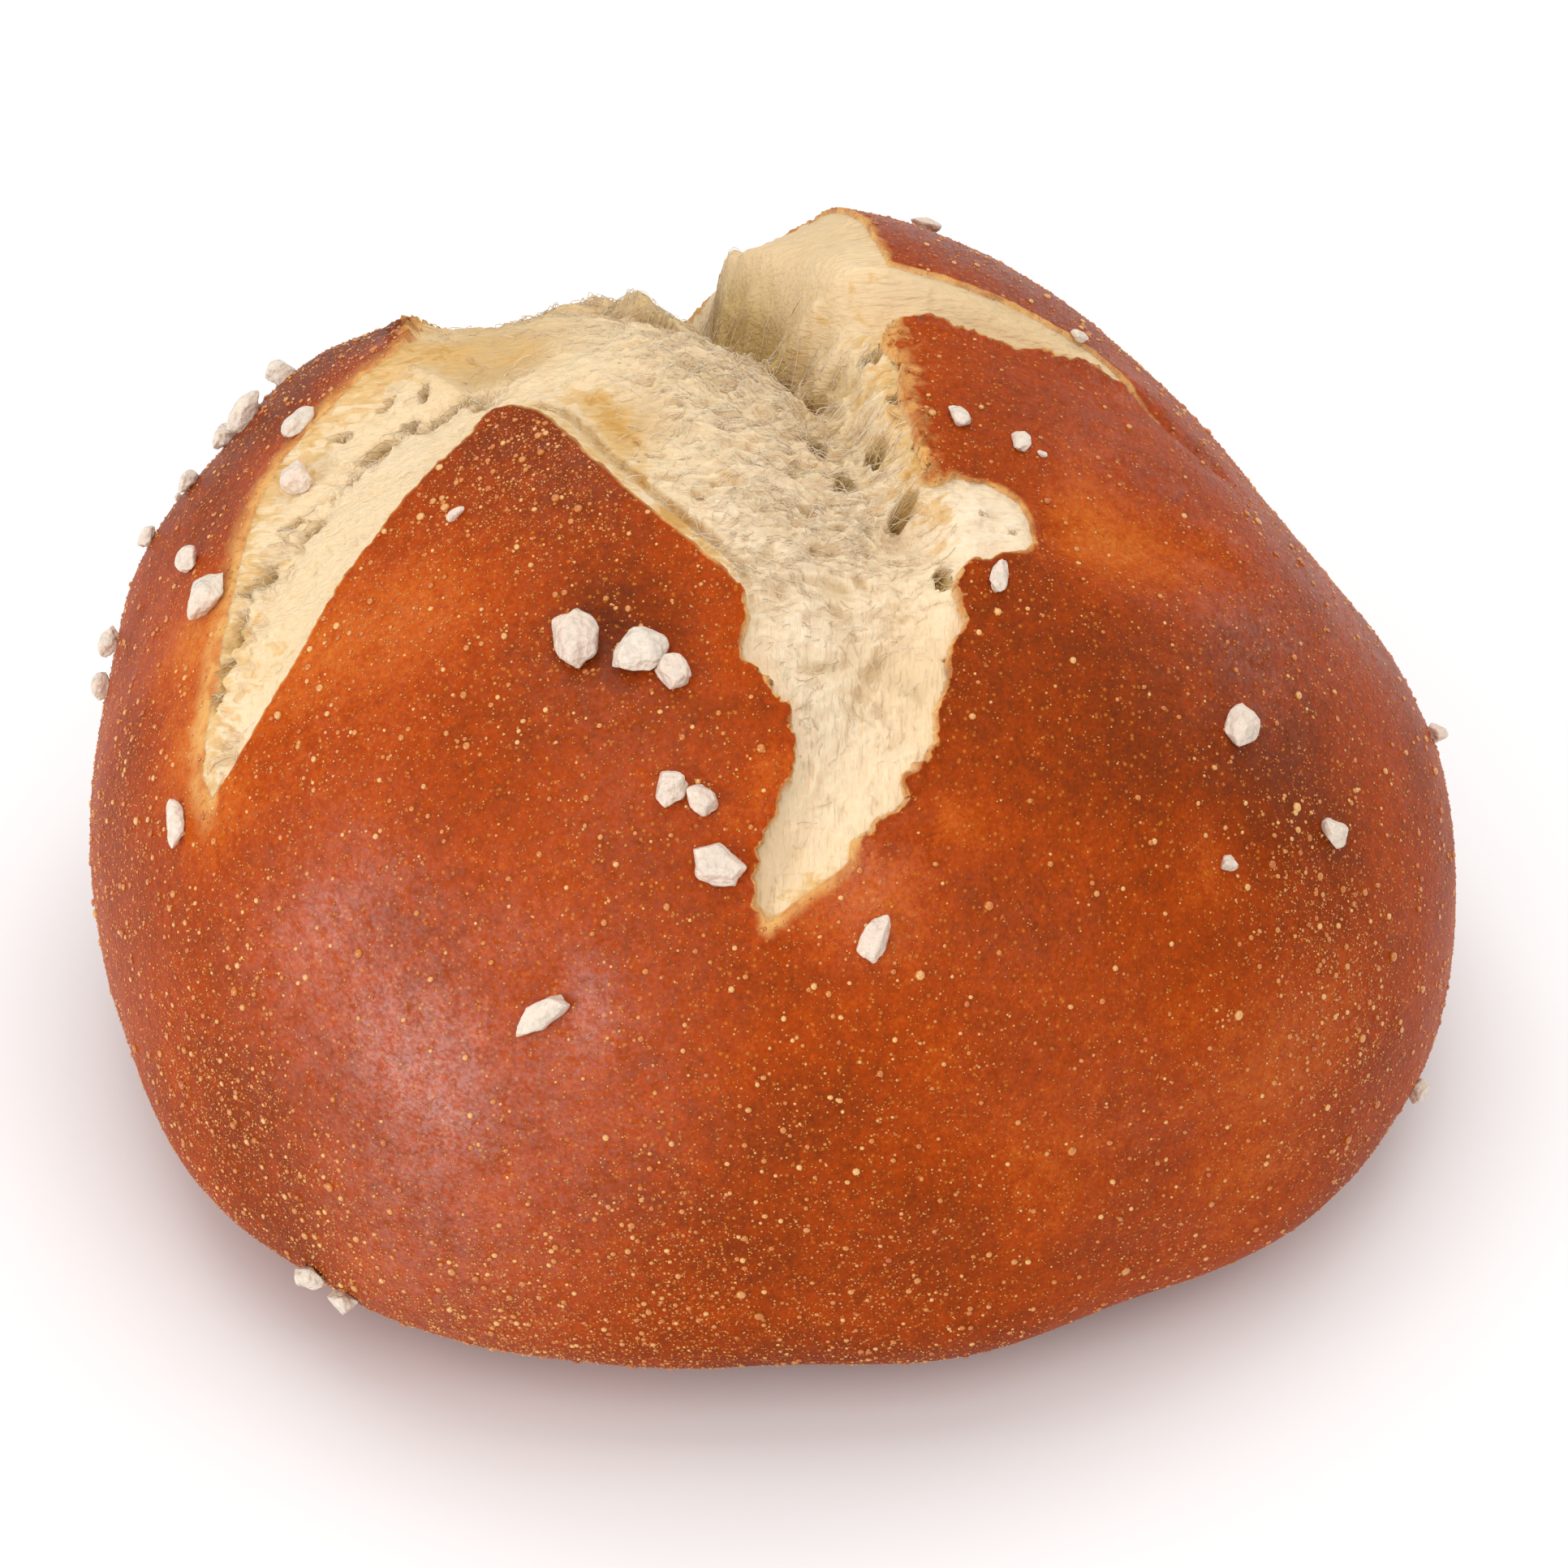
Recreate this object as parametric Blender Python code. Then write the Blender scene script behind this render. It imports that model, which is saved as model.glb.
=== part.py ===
"""A pretzel roll: a lye-baked bun whose crossed cut has torn open, as one closed solid.

The roll stands on its flat base at z = 0 with its middle over the origin. Its widest belt
lies a little above the base, and the crossed cut is on top: one arm runs to the front (-Y),
one to the left, one to the right and one to the back. Lengths are in millimetres and are
turned into metres where the mesh is made.

Places on the crust are given as (right, back): how far one walks over the crust from the
top of the roll, to the right and towards the back.
"""

import math

import bmesh
import bpy
import numpy as np
from mathutils import Vector

MM = 0.001

# Driving dimensions of the bun.
WIDTH = 100.0
DEPTH = 96.6
BELT_HEIGHT = 14.0
DOME_HEIGHT = 44.5
FOOT_DROP = 16.5  # how far the underside would bulge below the belt, were the base not flat
CRUST_RUN = 47.5  # distance over the crust for each radian of tilt from the top

# Roundness of the bun: 2 is an ellipse, and more is squarer.
PLAN_SQUARENESS = 2.17
DOME_SQUARENESS = 2.1
FOOT_SQUARENESS = 3.0

# Swells and dents of the crust: (right, back, spread, rise).
SWELLS = (
    (46.0, 27.0, 24.0, -4.7),  # flattened right shoulder
    (46.0, 9.0, 13.0, -1.4),
    (-55.0, 13.0, 9.0, 1.4),  # fuller left shoulder
    (-29.0, 21.0, 5.0, -0.9),
    (-17.0, 34.0, 17.0, -2.0),  # the back left flap sags towards the back
    (-76.0, -28.0, 18.0, -1.4),  # the foot draws in at the left, the right and the front
    (46.0, -72.0, 17.0, -1.7),
    (4.0, -88.0, 18.0, -1.1),
    (27.0, -15.0, 7.0, -1.2),  # hollow that runs right from the small tear
    (-12.0, -26.0, 5.0, -0.7),
    (-17.0, -51.0, 3.5, -0.7),
    (32.0, -46.0, 4.0, -0.6),
    (-30.0, -58.0, 14.0, 0.8),
    (20.0, -66.0, 6.0, -0.5),
    (-48.0, -34.0, 10.0, 0.5),
    (12.0, -58.0, 11.0, 0.6),
    (-8.0, 52.0, 7.0, -2.6),  # dip where the tear runs down the back
    (-37.0, 21.0, 8.0, 1.4),
    (-33.0, -62.0, 12.0, 0.6),
    (-25.0, -46.0, 12.0, -0.5),
)

# The cut's middle, and the lift of the flap between each two arms of the cut:
# (first heading, last heading, lift), headings in degrees from the right towards the back.
CUT_MIDDLE = (-6.0, 10.0)
FLAPS = (
    (224.0, 276.0, 0.4),  # front
    (276.0, 351.0, -0.2),  # right
    (351.0, 475.0, 3.9),  # back right
    (115.0, 224.0, 0.2),  # back left
)
FLAP_REACH = 26.0
FLAP_ROOT = 12.0
FLAP_TURN = 9.0  # degrees over which one flap's lift gives way to the next

# Edges of the torn crust, (right, back), going round the opening.
BACK_LEFT_EDGE = (
    (-44.0, -27.6),
    (-44.8, -24.6),
    (-43.5, -17.7),
    (-41.7, -7.1),
    (-40.4, -0.8),
    (-38.1, 4.0),
    (-34.6, 7.7),
    (-31.2, 10.2),
    (-28.6, 11.8),
    (-28.2, 14.6),
    (-29.2, 21.0),
    (-30.5, 31.0),
    (-28.0, 43.0),
    (-19.0, 58.0),
)
BACK_RIGHT_EDGE = (
    (-10.0, 51.0),
    (-1.0, 44.0),
    (3.0, 34.0),
    (4.6, 26.0),
    (6.2, 19.0),
    (8.0, 10.5),
    (8.5, 9.0),
    (12.5, 9.1),
    (19.0, 9.4),
    (24.4, 8.2),
    (30.6, 3.9),
)
RIGHT_EDGE = (
    (27.2, 5.2),
    (23.2, 5.7),
    (18.3, 4.7),
    (14.0, 5.7),
    (10.8, 6.7),
    (9.0, 4.8),
    (9.2, -0.4),
    (10.3, -6.3),
    (11.3, -11.5),
    (12.6, -13.4),
    (16.3, -13.4),
    (18.4, -15.2),
    (19.0, -17.8),
    (16.8, -19.3),
    (13.8, -20.6),
    (13.9, -25.8),
    (12.5, -29.7),
    (11.5, -35.0),
    (9.8, -37.6),
    (8.1, -40.4),
    (5.8, -42.6),
    (3.1, -45.1),
    (-0.2, -47.3),
)
FRONT_EDGE = (
    (-1.4, -44.5),
    (0.1, -40.1),
    (1.6, -37.0),
    (0.9, -33.5),
    (-1.9, -28.8),
    (-1.8, -24.6),
    (-6.3, -19.3),
    (-9.8, -15.3),
    (-13.4, -10.5),
    (-16.5, -5.5),
    (-18.7, -3.6),
    (-20.6, -4.3),
    (-23.1, -7.5),
    (-30.4, -14.6),
    (-35.8, -21.7),
    (-41.6, -26.3),
)
OPENING = BACK_LEFT_EDGE + BACK_RIGHT_EDGE + RIGHT_EDGE + FRONT_EDGE

# The torn crumb inside the opening, measured below the bun's dome.
CRUST_THICKNESS = 0.9
CRUMB_SINK = 2.3
CRUMB_SHOULDER = 3.0  # distance from the crust's edge over which the crumb falls to its depth
# Valleys of the tear, each a line of (right, back, depth) points, and the distances over
# which its walls come up, left and right as one looks along the line.
MIDDLE_VALLEY = (
    (-13.0, 60.0, 2.5),
    (-9.0, 50.0, 5.6),
    (-7.6, 42.0, 7.0),
    (-7.3, 34.0, 7.8),
    (-7.1, 27.0, 8.0),
    (-6.2, 21.5, 7.6),
    (-4.0, 16.6, 6.8),
    (-1.0, 11.6, 5.8),
    (2.8, 3.6, 4.8),
    (6.2, -6.4, 4.8),
    (9.8, -15.6, 4.2),
    (12.0, -20.6, 3.2),
    (8.8, -26.5, 2.0),
    (7.0, -31.0, 0.8),
    (3.0, -41.0, 0.2),
)
MIDDLE_WALLS = (4.6, 5.0)
LEFT_VALLEY = (
    (-43.6, -26.0, 0.3),
    (-43.7, -21.0, 0.7),
    (-42.2, -14.3, 1.0),
    (-39.8, -8.4, 1.2),
    (-34.6, -3.2, 1.3),
    (-29.4, 1.4, 1.4),
    (-22.6, 2.0, 1.0),
    (-20.0, 3.2, 0.3),
)
LEFT_WALLS = (2.0, 1.7)
# Mounds and hollows of the crumb: (right, back, spread, rise).
MOUNDS = (
    (-12.0, 2.0, 8.0, 1.3),
    (-4.0, -16.0, 6.0, 1.4),
    (-18.5, 31.0, 3.6, 1.1),
    (-24.0, 29.0, 4.0, -0.5),
    (-13.0, 31.0, 3.0, -0.6),
    (-9.0, 20.0, 3.5, -1.6),
    (-0.5, 16.0, 5.5, -2.0),
    (-3.5, 27.0, 5.0, -1.6),
    (6.5, 12.0, 4.0, 0.9),
    (12.5, -25.5, 3.2, 1.5),
    (16.0, -17.0, 3.5, 1.7),
    (1.5, -31.0, 4.0, 0.7),
    (16.0, 8.0, 6.0, 0.5),
    (-33.0, -4.0, 8.0, 0.8),
    (-22.0, 8.0, 3.0, -0.8),
)

# Mesh: an icosphere, cut finer where the crumb shows and finer again at the torn edges.
SPHERE_STEPS = 5
FINE_MARGIN = 2.0
EDGE_MARGIN = 1.3

ROLL_NAME = "roll"

CRUST_COLOUR = (0.42, 0.11, 0.02, 1.0)
CRUMB_COLOUR = (0.80, 0.66, 0.42, 1.0)
CRUST_ROUGHNESS = 0.4
CRUMB_ROUGHNESS = 0.85


def direction_of(places):
    """Unit directions from the middle of the belt to places (right, back) on the crust."""
    tilt = np.hypot(places[:, 0], places[:, 1]) / CRUST_RUN
    heading = np.arctan2(places[:, 1], places[:, 0])
    level = np.sin(tilt)
    return np.column_stack([level * np.cos(heading), level * np.sin(heading), np.cos(tilt)])


def place_of(directions):
    """Places (right, back) on the crust that unit directions point at."""
    tilt = np.arccos(np.clip(directions[:, 2], -1.0, 1.0))
    heading = np.arctan2(directions[:, 1], directions[:, 0])
    walk = CRUST_RUN * tilt
    return np.column_stack([walk * np.cos(heading), walk * np.sin(heading)])


def smooth_step(value):
    """0 below 0, 1 above 1, and a smooth ramp between."""
    t = np.clip(value, 0.0, 1.0)
    return t * t * (3.0 - 2.0 * t)


def bun_radius(directions):
    """Distance from the middle of the belt to the plain bun, before it tore open."""
    x, y, z = np.abs(directions).T
    p = PLAN_SQUARENESS
    level = ((x / (WIDTH / 2)) ** p + (y / (DEPTH / 2)) ** p) ** (1 / p)
    dome = directions[:, 2] >= 0
    squareness = np.where(dome, DOME_SQUARENESS, FOOT_SQUARENESS)
    height = np.where(dome, DOME_HEIGHT, FOOT_DROP)
    return (level**squareness + (z / height) ** squareness) ** (-1 / squareness)


def bumps(places, table):
    """Sum of round bumps (right, back, spread, rise) at places on the crust."""
    total = np.zeros(len(places))
    for right, back, spread, rise in table:
        away = np.hypot(places[:, 0] - right, places[:, 1] - back)
        total += rise * np.exp(-((away / spread) ** 2))
    return total


def flap_lift(places):
    """How far the flaps between the cut's arms stand above the plain bun."""
    across = places - np.array(CUT_MIDDLE)
    away = np.hypot(across[:, 0], across[:, 1])
    heading = np.degrees(np.arctan2(across[:, 1], across[:, 0]))
    lift = np.zeros(len(places))
    for first, last, height in FLAPS:
        middle = (first + last) / 2
        half = (last - first) / 2
        off = np.abs((heading - middle + 180.0) % 360.0 - 180.0)
        lift += height * smooth_step((half - off) / FLAP_TURN + 0.5)
    return lift * smooth_step(away / FLAP_ROOT) * np.exp(-((away / FLAP_REACH) ** 2))


def line_distance(places, line):
    """Distance to a line of (right, back, ...) points, positive on its right, and where on
    the line its nearest point is."""
    points = np.array(line)
    nearest = np.full(len(places), np.inf)
    position = np.zeros(len(places))
    for i in range(len(points) - 1):
        start = points[i, :2]
        run = points[i + 1, :2] - start
        offset = places - start
        along = np.clip(offset @ run / (run @ run), 0.0, 1.0)
        away = np.hypot(*(offset - along[:, None] * run).T)
        on_right = offset[:, 0] * run[1] > offset[:, 1] * run[0]
        closer = away < np.abs(nearest)
        nearest[closer] = np.where(on_right, away, -away)[closer]
        position[closer] = (i + along)[closer]
    return nearest, position


def valley(places, line, walls, left_is_cut):
    """Depth of a valley along a line of (right, back, depth) points. A torn wall comes up
    steeply and then ever more gently, a cut one in a smooth step."""
    away, position = line_distance(places, line)
    depth = np.interp(position, np.arange(len(line)), [point[2] for point in line])
    left_reach, right_reach = walls
    right = np.exp(-np.abs(away) / right_reach)
    left = np.exp(-np.abs(away) / left_reach)
    if left_is_cut:
        left = 1.0 - smooth_step(np.abs(away) / left_reach)
    return depth * np.where(away > 0, right, left)


def inside_opening(places):
    """True where a place lies inside the opening's outline."""
    inside = np.zeros(len(places), bool)
    for (x0, y0), (x1, y1) in zip(OPENING, OPENING[1:] + OPENING[:1]):
        if y0 == y1:
            continue
        between = (places[:, 1] > y0) != (places[:, 1] > y1)
        crossing = x0 + (places[:, 1] - y0) * (x1 - x0) / (y1 - y0)
        inside ^= between & (places[:, 0] < crossing)
    return inside


def distance_inside(places):
    """Distance to the crust's torn edge, positive inside the opening."""
    away = np.abs(line_distance(places, OPENING + OPENING[:1])[0])
    return np.where(inside_opening(places), away, -away)


def crumb_depth(places, inside):
    """How far the torn crumb lies below the crust, from the distance inside the opening."""
    depth = CRUMB_SINK - bumps(places, MOUNDS)
    depth += valley(places, MIDDLE_VALLEY, MIDDLE_WALLS, left_is_cut=True)
    depth += valley(places, LEFT_VALLEY, LEFT_WALLS, left_is_cut=False)
    fall = 1.0 - np.exp(-np.maximum(inside, 0.0) / CRUMB_SHOULDER)
    return CRUST_THICKNESS + (depth - CRUST_THICKNESS) * fall


def roll_points(places, on_edge):
    """Points of the roll's surface, in millimetres; those on the torn edge are crust."""
    directions = direction_of(places)
    inside = distance_inside(places)
    torn = (inside > 0) & ~on_edge
    radius = bun_radius(directions) + bumps(places, SWELLS) + flap_lift(places)
    radius -= np.where(torn, crumb_depth(places, inside), 0.0)
    return directions * radius[:, None] + np.array([0.0, 0.0, BELT_HEIGHT])


def vertex_places(mesh):
    """Places on the crust that a mesh's vertices lie at, seen from the origin."""
    points = np.array([vertex.co[:] for vertex in mesh.verts])
    return place_of(points / np.linalg.norm(points, axis=1)[:, None])


def cut_finer(mesh, least, most):
    """Halve the edges that have an end whose distance inside the opening is in a range."""
    inside = distance_inside(vertex_places(mesh))
    mesh.verts.index_update()
    near = (inside > least) & (inside < most)
    edges = [edge for edge in mesh.edges if any(near[vertex.index] for vertex in edge.verts)]
    bmesh.ops.subdivide_edges(mesh, edges=edges, cuts=1, use_grid_fill=True)
    bmesh.ops.triangulate(mesh, faces=mesh.faces)


def nearest_on_outline(places):
    """Nearest places on the opening's outline."""
    outline = np.array(OPENING + OPENING[:1])
    position = line_distance(places, outline)[1]
    start = np.minimum(position.astype(int), len(outline) - 2)
    along = (position - start)[:, None]
    return outline[start] * (1.0 - along) + outline[start + 1] * along


def settle_on_outline(mesh, places):
    """Move vertices onto the opening's outline until no edge of the mesh crosses it."""
    mesh.verts.index_update()
    ends = np.array([[vertex.index for vertex in edge.verts] for edge in mesh.edges])
    inside = distance_inside(places)
    crossing = ends[inside[ends[:, 0]] * inside[ends[:, 1]] < 0]
    first_nearer = np.abs(inside[crossing[:, 0]]) < np.abs(inside[crossing[:, 1]])
    chosen = np.unique(np.where(first_nearer, crossing[:, 0], crossing[:, 1]))
    on_edge = np.zeros(len(places), bool)
    on_edge[chosen] = True
    settled = places.copy()
    settled[chosen] = nearest_on_outline(places[chosen])
    return settled, on_edge


def roll_mesh():
    """The whole roll as one closed mesh, in millimetres, with its flat base at z = 0."""
    mesh = bmesh.new()
    bmesh.ops.create_icosphere(mesh, subdivisions=SPHERE_STEPS, radius=1.0)
    cut_finer(mesh, -FINE_MARGIN, math.inf)
    cut_finer(mesh, -EDGE_MARGIN, EDGE_MARGIN)
    places, on_edge = settle_on_outline(mesh, vertex_places(mesh))
    points = roll_points(places, on_edge)
    points[:, :2] -= (points[:, :2].min(axis=0) + points[:, :2].max(axis=0)) / 2
    for vertex, point in zip(mesh.verts, points):
        vertex.co = point
    everything = mesh.verts[:] + mesh.edges[:] + mesh.faces[:]
    bmesh.ops.bisect_plane(
        mesh, geom=everything, plane_co=(0, 0, 0), plane_no=(0, 0, -1), clear_outer=True
    )
    rim = [edge for edge in mesh.edges if edge.is_boundary]
    bmesh.ops.contextual_create(mesh, geom=rim)
    bmesh.ops.triangulate(mesh, faces=mesh.faces)
    bmesh.ops.recalc_face_normals(mesh, faces=mesh.faces)
    return mesh


def new_material(name, colour, roughness):
    """A plain material of one colour."""
    material = bpy.data.materials.new(name)
    material.use_nodes = True
    shader = material.node_tree.nodes["Principled BSDF"]
    shader.inputs["Base Color"].default_value = colour
    shader.inputs["Roughness"].default_value = roughness
    return material


def is_crumb(face):
    """True for a face that lies in the opening."""
    middle = face.calc_center_median() - Vector((0.0, 0.0, BELT_HEIGHT))
    inside = distance_inside(place_of(np.array([middle.normalized()[:]])))
    return bool(inside[0] > 0)


def build_roll():
    """Make the roll, with its crust and crumb colours."""
    mesh = roll_mesh()
    for face in mesh.faces:
        face.material_index = int(is_crumb(face))
        face.smooth = False
    bmesh.ops.scale(mesh, vec=(MM, MM, MM), verts=mesh.verts)
    data = bpy.data.meshes.new(ROLL_NAME)
    data.materials.append(new_material("crust", CRUST_COLOUR, CRUST_ROUGHNESS))
    data.materials.append(new_material("crumb", CRUMB_COLOUR, CRUMB_ROUGHNESS))
    mesh.to_mesh(data)
    mesh.free()
    roll = bpy.data.objects.new(ROLL_NAME, data)
    bpy.context.scene.collection.objects.link(roll)


def main():
    """Empty the scene and build the roll."""
    for thing in list(bpy.data.objects):
        bpy.data.objects.remove(thing, do_unlink=True)
    build_roll()


if __name__ == "__main__":
    main()
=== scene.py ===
"""Looks of a pretzel roll: leathery crust, torn crumb, blisters and coarse salt.

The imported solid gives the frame. The pieces here are made in millimetres round the middle
of the roll's belt and put in place, in metres, when each mesh is finished. Places on the
crust are given as (right, back): how far one walks over the crust from the roll's top, to
the right and towards the back.
"""

import itertools
import logging
import math
from dataclasses import dataclass, replace
from enum import Enum

import bmesh
import bpy
import numpy as np
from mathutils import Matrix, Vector

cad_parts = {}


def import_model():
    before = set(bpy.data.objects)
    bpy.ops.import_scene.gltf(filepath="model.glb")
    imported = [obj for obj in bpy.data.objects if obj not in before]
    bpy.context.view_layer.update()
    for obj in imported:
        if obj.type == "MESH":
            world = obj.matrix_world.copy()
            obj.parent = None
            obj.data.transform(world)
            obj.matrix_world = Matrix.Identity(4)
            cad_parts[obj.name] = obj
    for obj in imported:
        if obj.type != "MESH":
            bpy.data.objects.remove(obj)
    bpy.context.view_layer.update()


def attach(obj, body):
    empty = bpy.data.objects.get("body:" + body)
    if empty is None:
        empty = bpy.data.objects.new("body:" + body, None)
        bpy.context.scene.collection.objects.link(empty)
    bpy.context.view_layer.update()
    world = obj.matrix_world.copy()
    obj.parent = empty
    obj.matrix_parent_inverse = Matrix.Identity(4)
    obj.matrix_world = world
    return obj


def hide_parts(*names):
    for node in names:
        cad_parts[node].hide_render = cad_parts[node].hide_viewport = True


MM = 0.001
NODE = "roll"
BODY = "root"
LOG = logging.getLogger("pretzel_roll")

Array = np.ndarray
Colour = tuple[float, float, float]
Rows = tuple[tuple[float, ...], ...]


# ---------------------------------------------------------------------------
# Numbers over the surface
# ---------------------------------------------------------------------------


def smooth_step(value: Array) -> Array:
    """0 below 0, 1 above 1, and a smooth ramp between."""
    t = np.clip(value, 0.0, 1.0)
    return t * t * (3.0 - 2.0 * t)


def cell_values(cells: Array, seed: int) -> Array:
    """Give each lattice cell a steady random number.

    Args:
        cells: Whole lattice coordinates, one row for each cell.
        seed: Which set of random numbers to use.

    Returns:
        One number from 0 to 1 for each row.
    """
    mixed = np.full(len(cells), (seed * 374761393 + 668265263) & 0xFFFFFFFF, np.uint32)
    for axis, prime in zip(range(cells.shape[1]), (73856093, 19349663, 83492791)):
        mixed = (mixed ^ (cells[:, axis] * np.uint32(prime))) * np.uint32(0x9E3779B1)
        mixed ^= mixed >> np.uint32(15)
    mixed *= np.uint32(0x85EBCA77)
    mixed ^= mixed >> np.uint32(13)
    return mixed / float(0xFFFFFFFF)


def lattice(points: Array, size: float | tuple[float, ...]) -> tuple[Array, Array]:
    """Split points into their lattice cell and the place within it.

    Args:
        points: Points with two or three coordinates.
        size: Edge length of a cell, or one length for each axis.

    Returns:
        The whole part and the fractional part of each point.
    """
    scaled = points / np.asarray(size, float)
    whole = np.floor(scaled)
    return whole, scaled - whole


def noise(points: Array, size: float | tuple[float, ...], seed: int) -> Array:
    """Evaluate smooth gradient noise.

    Args:
        points: Points with two or three coordinates.
        size: Size of the features, or one size for each axis.
        seed: Which noise to use.

    Returns:
        One number from about -1 to 1 for each point.
    """
    whole, within = lattice(points, size)
    fade = within**3 * (within * (within * 6.0 - 15.0) + 10.0)
    total = np.zeros(len(points))
    for steps in itertools.product((0, 1), repeat=points.shape[1]):
        cells = (whole + steps).astype(np.int64).astype(np.uint32)
        offset = within - steps
        turn = cell_values(cells, seed) * math.tau
        slope = offset[:, 0] * np.cos(turn) + offset[:, 1] * np.sin(turn)
        if points.shape[1] == 3:
            lift = cell_values(cells, seed + 101) * 2.0 - 1.0
            slope = slope * np.sqrt(1.0 - lift**2) + offset[:, 2] * lift
        total += slope * np.prod(np.where(steps, fade, 1.0 - fade), axis=1)
    return total * 1.5


def fractal(points: Array, size: float | tuple[float, ...], octaves: int, seed: int) -> Array:
    """Sum noise of halving size and strength.

    Args:
        points: Points with two or three coordinates.
        size: Size of the largest features, or one size for each axis.
        octaves: How many sizes to sum.
        seed: Which noise to use.

    Returns:
        One number from about -1 to 1 for each point.
    """
    sizes = np.asarray(size, float)
    total = sum(noise(points, sizes / 2**i, seed + i) / 2**i for i in range(octaves))
    return total / 1.5


def ridged(points: Array, size: float | tuple[float, ...], octaves: int, seed: int) -> Array:
    """Sum noise folded into sharp ridges, of halving size and strength.

    Args:
        points: Points with two or three coordinates.
        size: Size of the largest features, or one size for each axis.
        octaves: How many sizes to sum.
        seed: Which noise to use.

    Returns:
        One number from about 0 to 1 for each point, 1 on a ridge.
    """
    sizes = np.asarray(size, float)
    total = np.zeros(len(points))
    for i in range(octaves):
        total += (1.0 - np.minimum(np.abs(noise(points, sizes / 2**i, seed + i)) * 2.0, 1.0)) / 2**i
    return total / (2.0 - 0.5 ** (octaves - 1))


def pores(points: Array, size: float, share: float, seed: int) -> Array:
    """Scatter round pits of varied width.

    Args:
        points: Points with two coordinates.
        size: Mean distance between places where a pit may be.
        share: Share of those places that have one.
        seed: Which set of pits to use.

    Returns:
        0 away from every pit, rising to the pit's own depth, up to 1, at its middle.
    """
    whole, within = lattice(points, size)
    deepest = np.zeros(len(points))
    for steps in itertools.product((-1, 0, 1), repeat=2):
        cells = (whole + steps).astype(np.int64).astype(np.uint32)
        middle = np.column_stack([cell_values(cells, seed + axis) for axis in (1, 2)])
        away = np.hypot(*(within - steps - middle).T)
        width = 0.14 + 0.34 * cell_values(cells, seed + 3) ** 2
        there = cell_values(cells, seed + 4) < share
        depth = np.where(there, (0.4 + width) * (1.0 - smooth_step(away / width)), 0.0)
        deepest = np.maximum(deepest, depth)
    return deepest


def bumps(places: Array, table: Rows) -> Array:
    """Sum round bumps.

    Args:
        places: Places on the crust.
        table: One (right, back, spread, rise) for each bump.

    Returns:
        The summed rise at each place.
    """
    total = np.zeros(len(places))
    for right, back, spread, rise in table:
        away = np.hypot(places[:, 0] - right, places[:, 1] - back)
        total += rise * np.exp(-((away / spread) ** 2))
    return total


def line_distance(places: Array, line: Array) -> tuple[Array, Array]:
    """Measure how far places lie from a line.

    Args:
        places: Places on the crust.
        line: Points whose first two numbers are (right, back).

    Returns:
        The distance, negative on the line's left, and the position along the line, as the
        number of a point and a fraction.
    """
    nearest = np.full(len(places), np.inf)
    position = np.zeros(len(places))
    for i in range(len(line) - 1):
        start = line[i, :2]
        run = line[i + 1, :2] - start
        offset = places - start
        along = np.clip((offset @ run) / (run @ run), 0.0, 1.0)
        away = np.hypot(*(offset - along[:, None] * run).T)
        on_right = offset[:, 0] * run[1] > offset[:, 1] * run[0]
        closer = away < np.abs(nearest)
        nearest[closer] = np.where(on_right, away, -away)[closer]
        position[closer] = (i + along)[closer]
    return nearest, position


def turned(places: Array, degrees: float) -> Array:
    """Places in axes turned by an angle, so that the first axis runs along that heading."""
    c, s = math.cos(math.radians(degrees)), math.sin(math.radians(degrees))
    return np.column_stack([places @ (c, s), places @ (-s, c)])


# ---------------------------------------------------------------------------
# Form of the roll
# ---------------------------------------------------------------------------


class Wall(Enum):
    """How the wall of a valley in the crumb climbs."""

    TORN = "torn"
    CUT = "cut"


@dataclass(frozen=True)
class TornEdge:
    """One stretch of the torn crust's edge.

    Attributes:
        points: Places (right, back) along it.
        tear: How far its ragged teeth reach.
        band: Width over which its browning fades to gold.
        step: Height of the crust above the crumb.
        curl: How far its lip stands up.
        face: Width of the smooth cut face of dough that is left along it.
    """

    points: Rows
    tear: float
    band: float
    step: float
    curl: float = 0.0
    face: float = 0.0

    def rows(self) -> list[tuple[float, ...]]:
        """The edge's points, each with its finish numbers."""
        finish = (self.tear, self.band, self.step, self.curl, self.face)
        return [(*point, *finish) for point in self.points]


@dataclass(frozen=True)
class Valley:
    """A valley in the torn crumb.

    Attributes:
        line: Points (right, back, depth, width of the left-hand wall) along its bottom.
        right_width: How wide its right-hand wall is, seen along the line.
        left_wall: How its left-hand wall climbs.
    """

    line: Rows
    right_width: float
    left_wall: Wall = Wall.TORN

    def depth(self, places: Array) -> Array:
        """How deep the valley is at each place."""
        line = np.array(self.line)
        away, position = line_distance(places, line)
        depth, width = (np.interp(position, np.arange(len(line)), row) for row in line.T[2:])
        right = np.exp(-np.abs(away) / self.right_width)
        left = np.exp(-np.abs(away) / width)
        if self.left_wall is Wall.CUT:
            left = 1.0 - smooth_step(np.abs(away) / width)
        return depth * np.where(away > 0, right, left)


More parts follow.
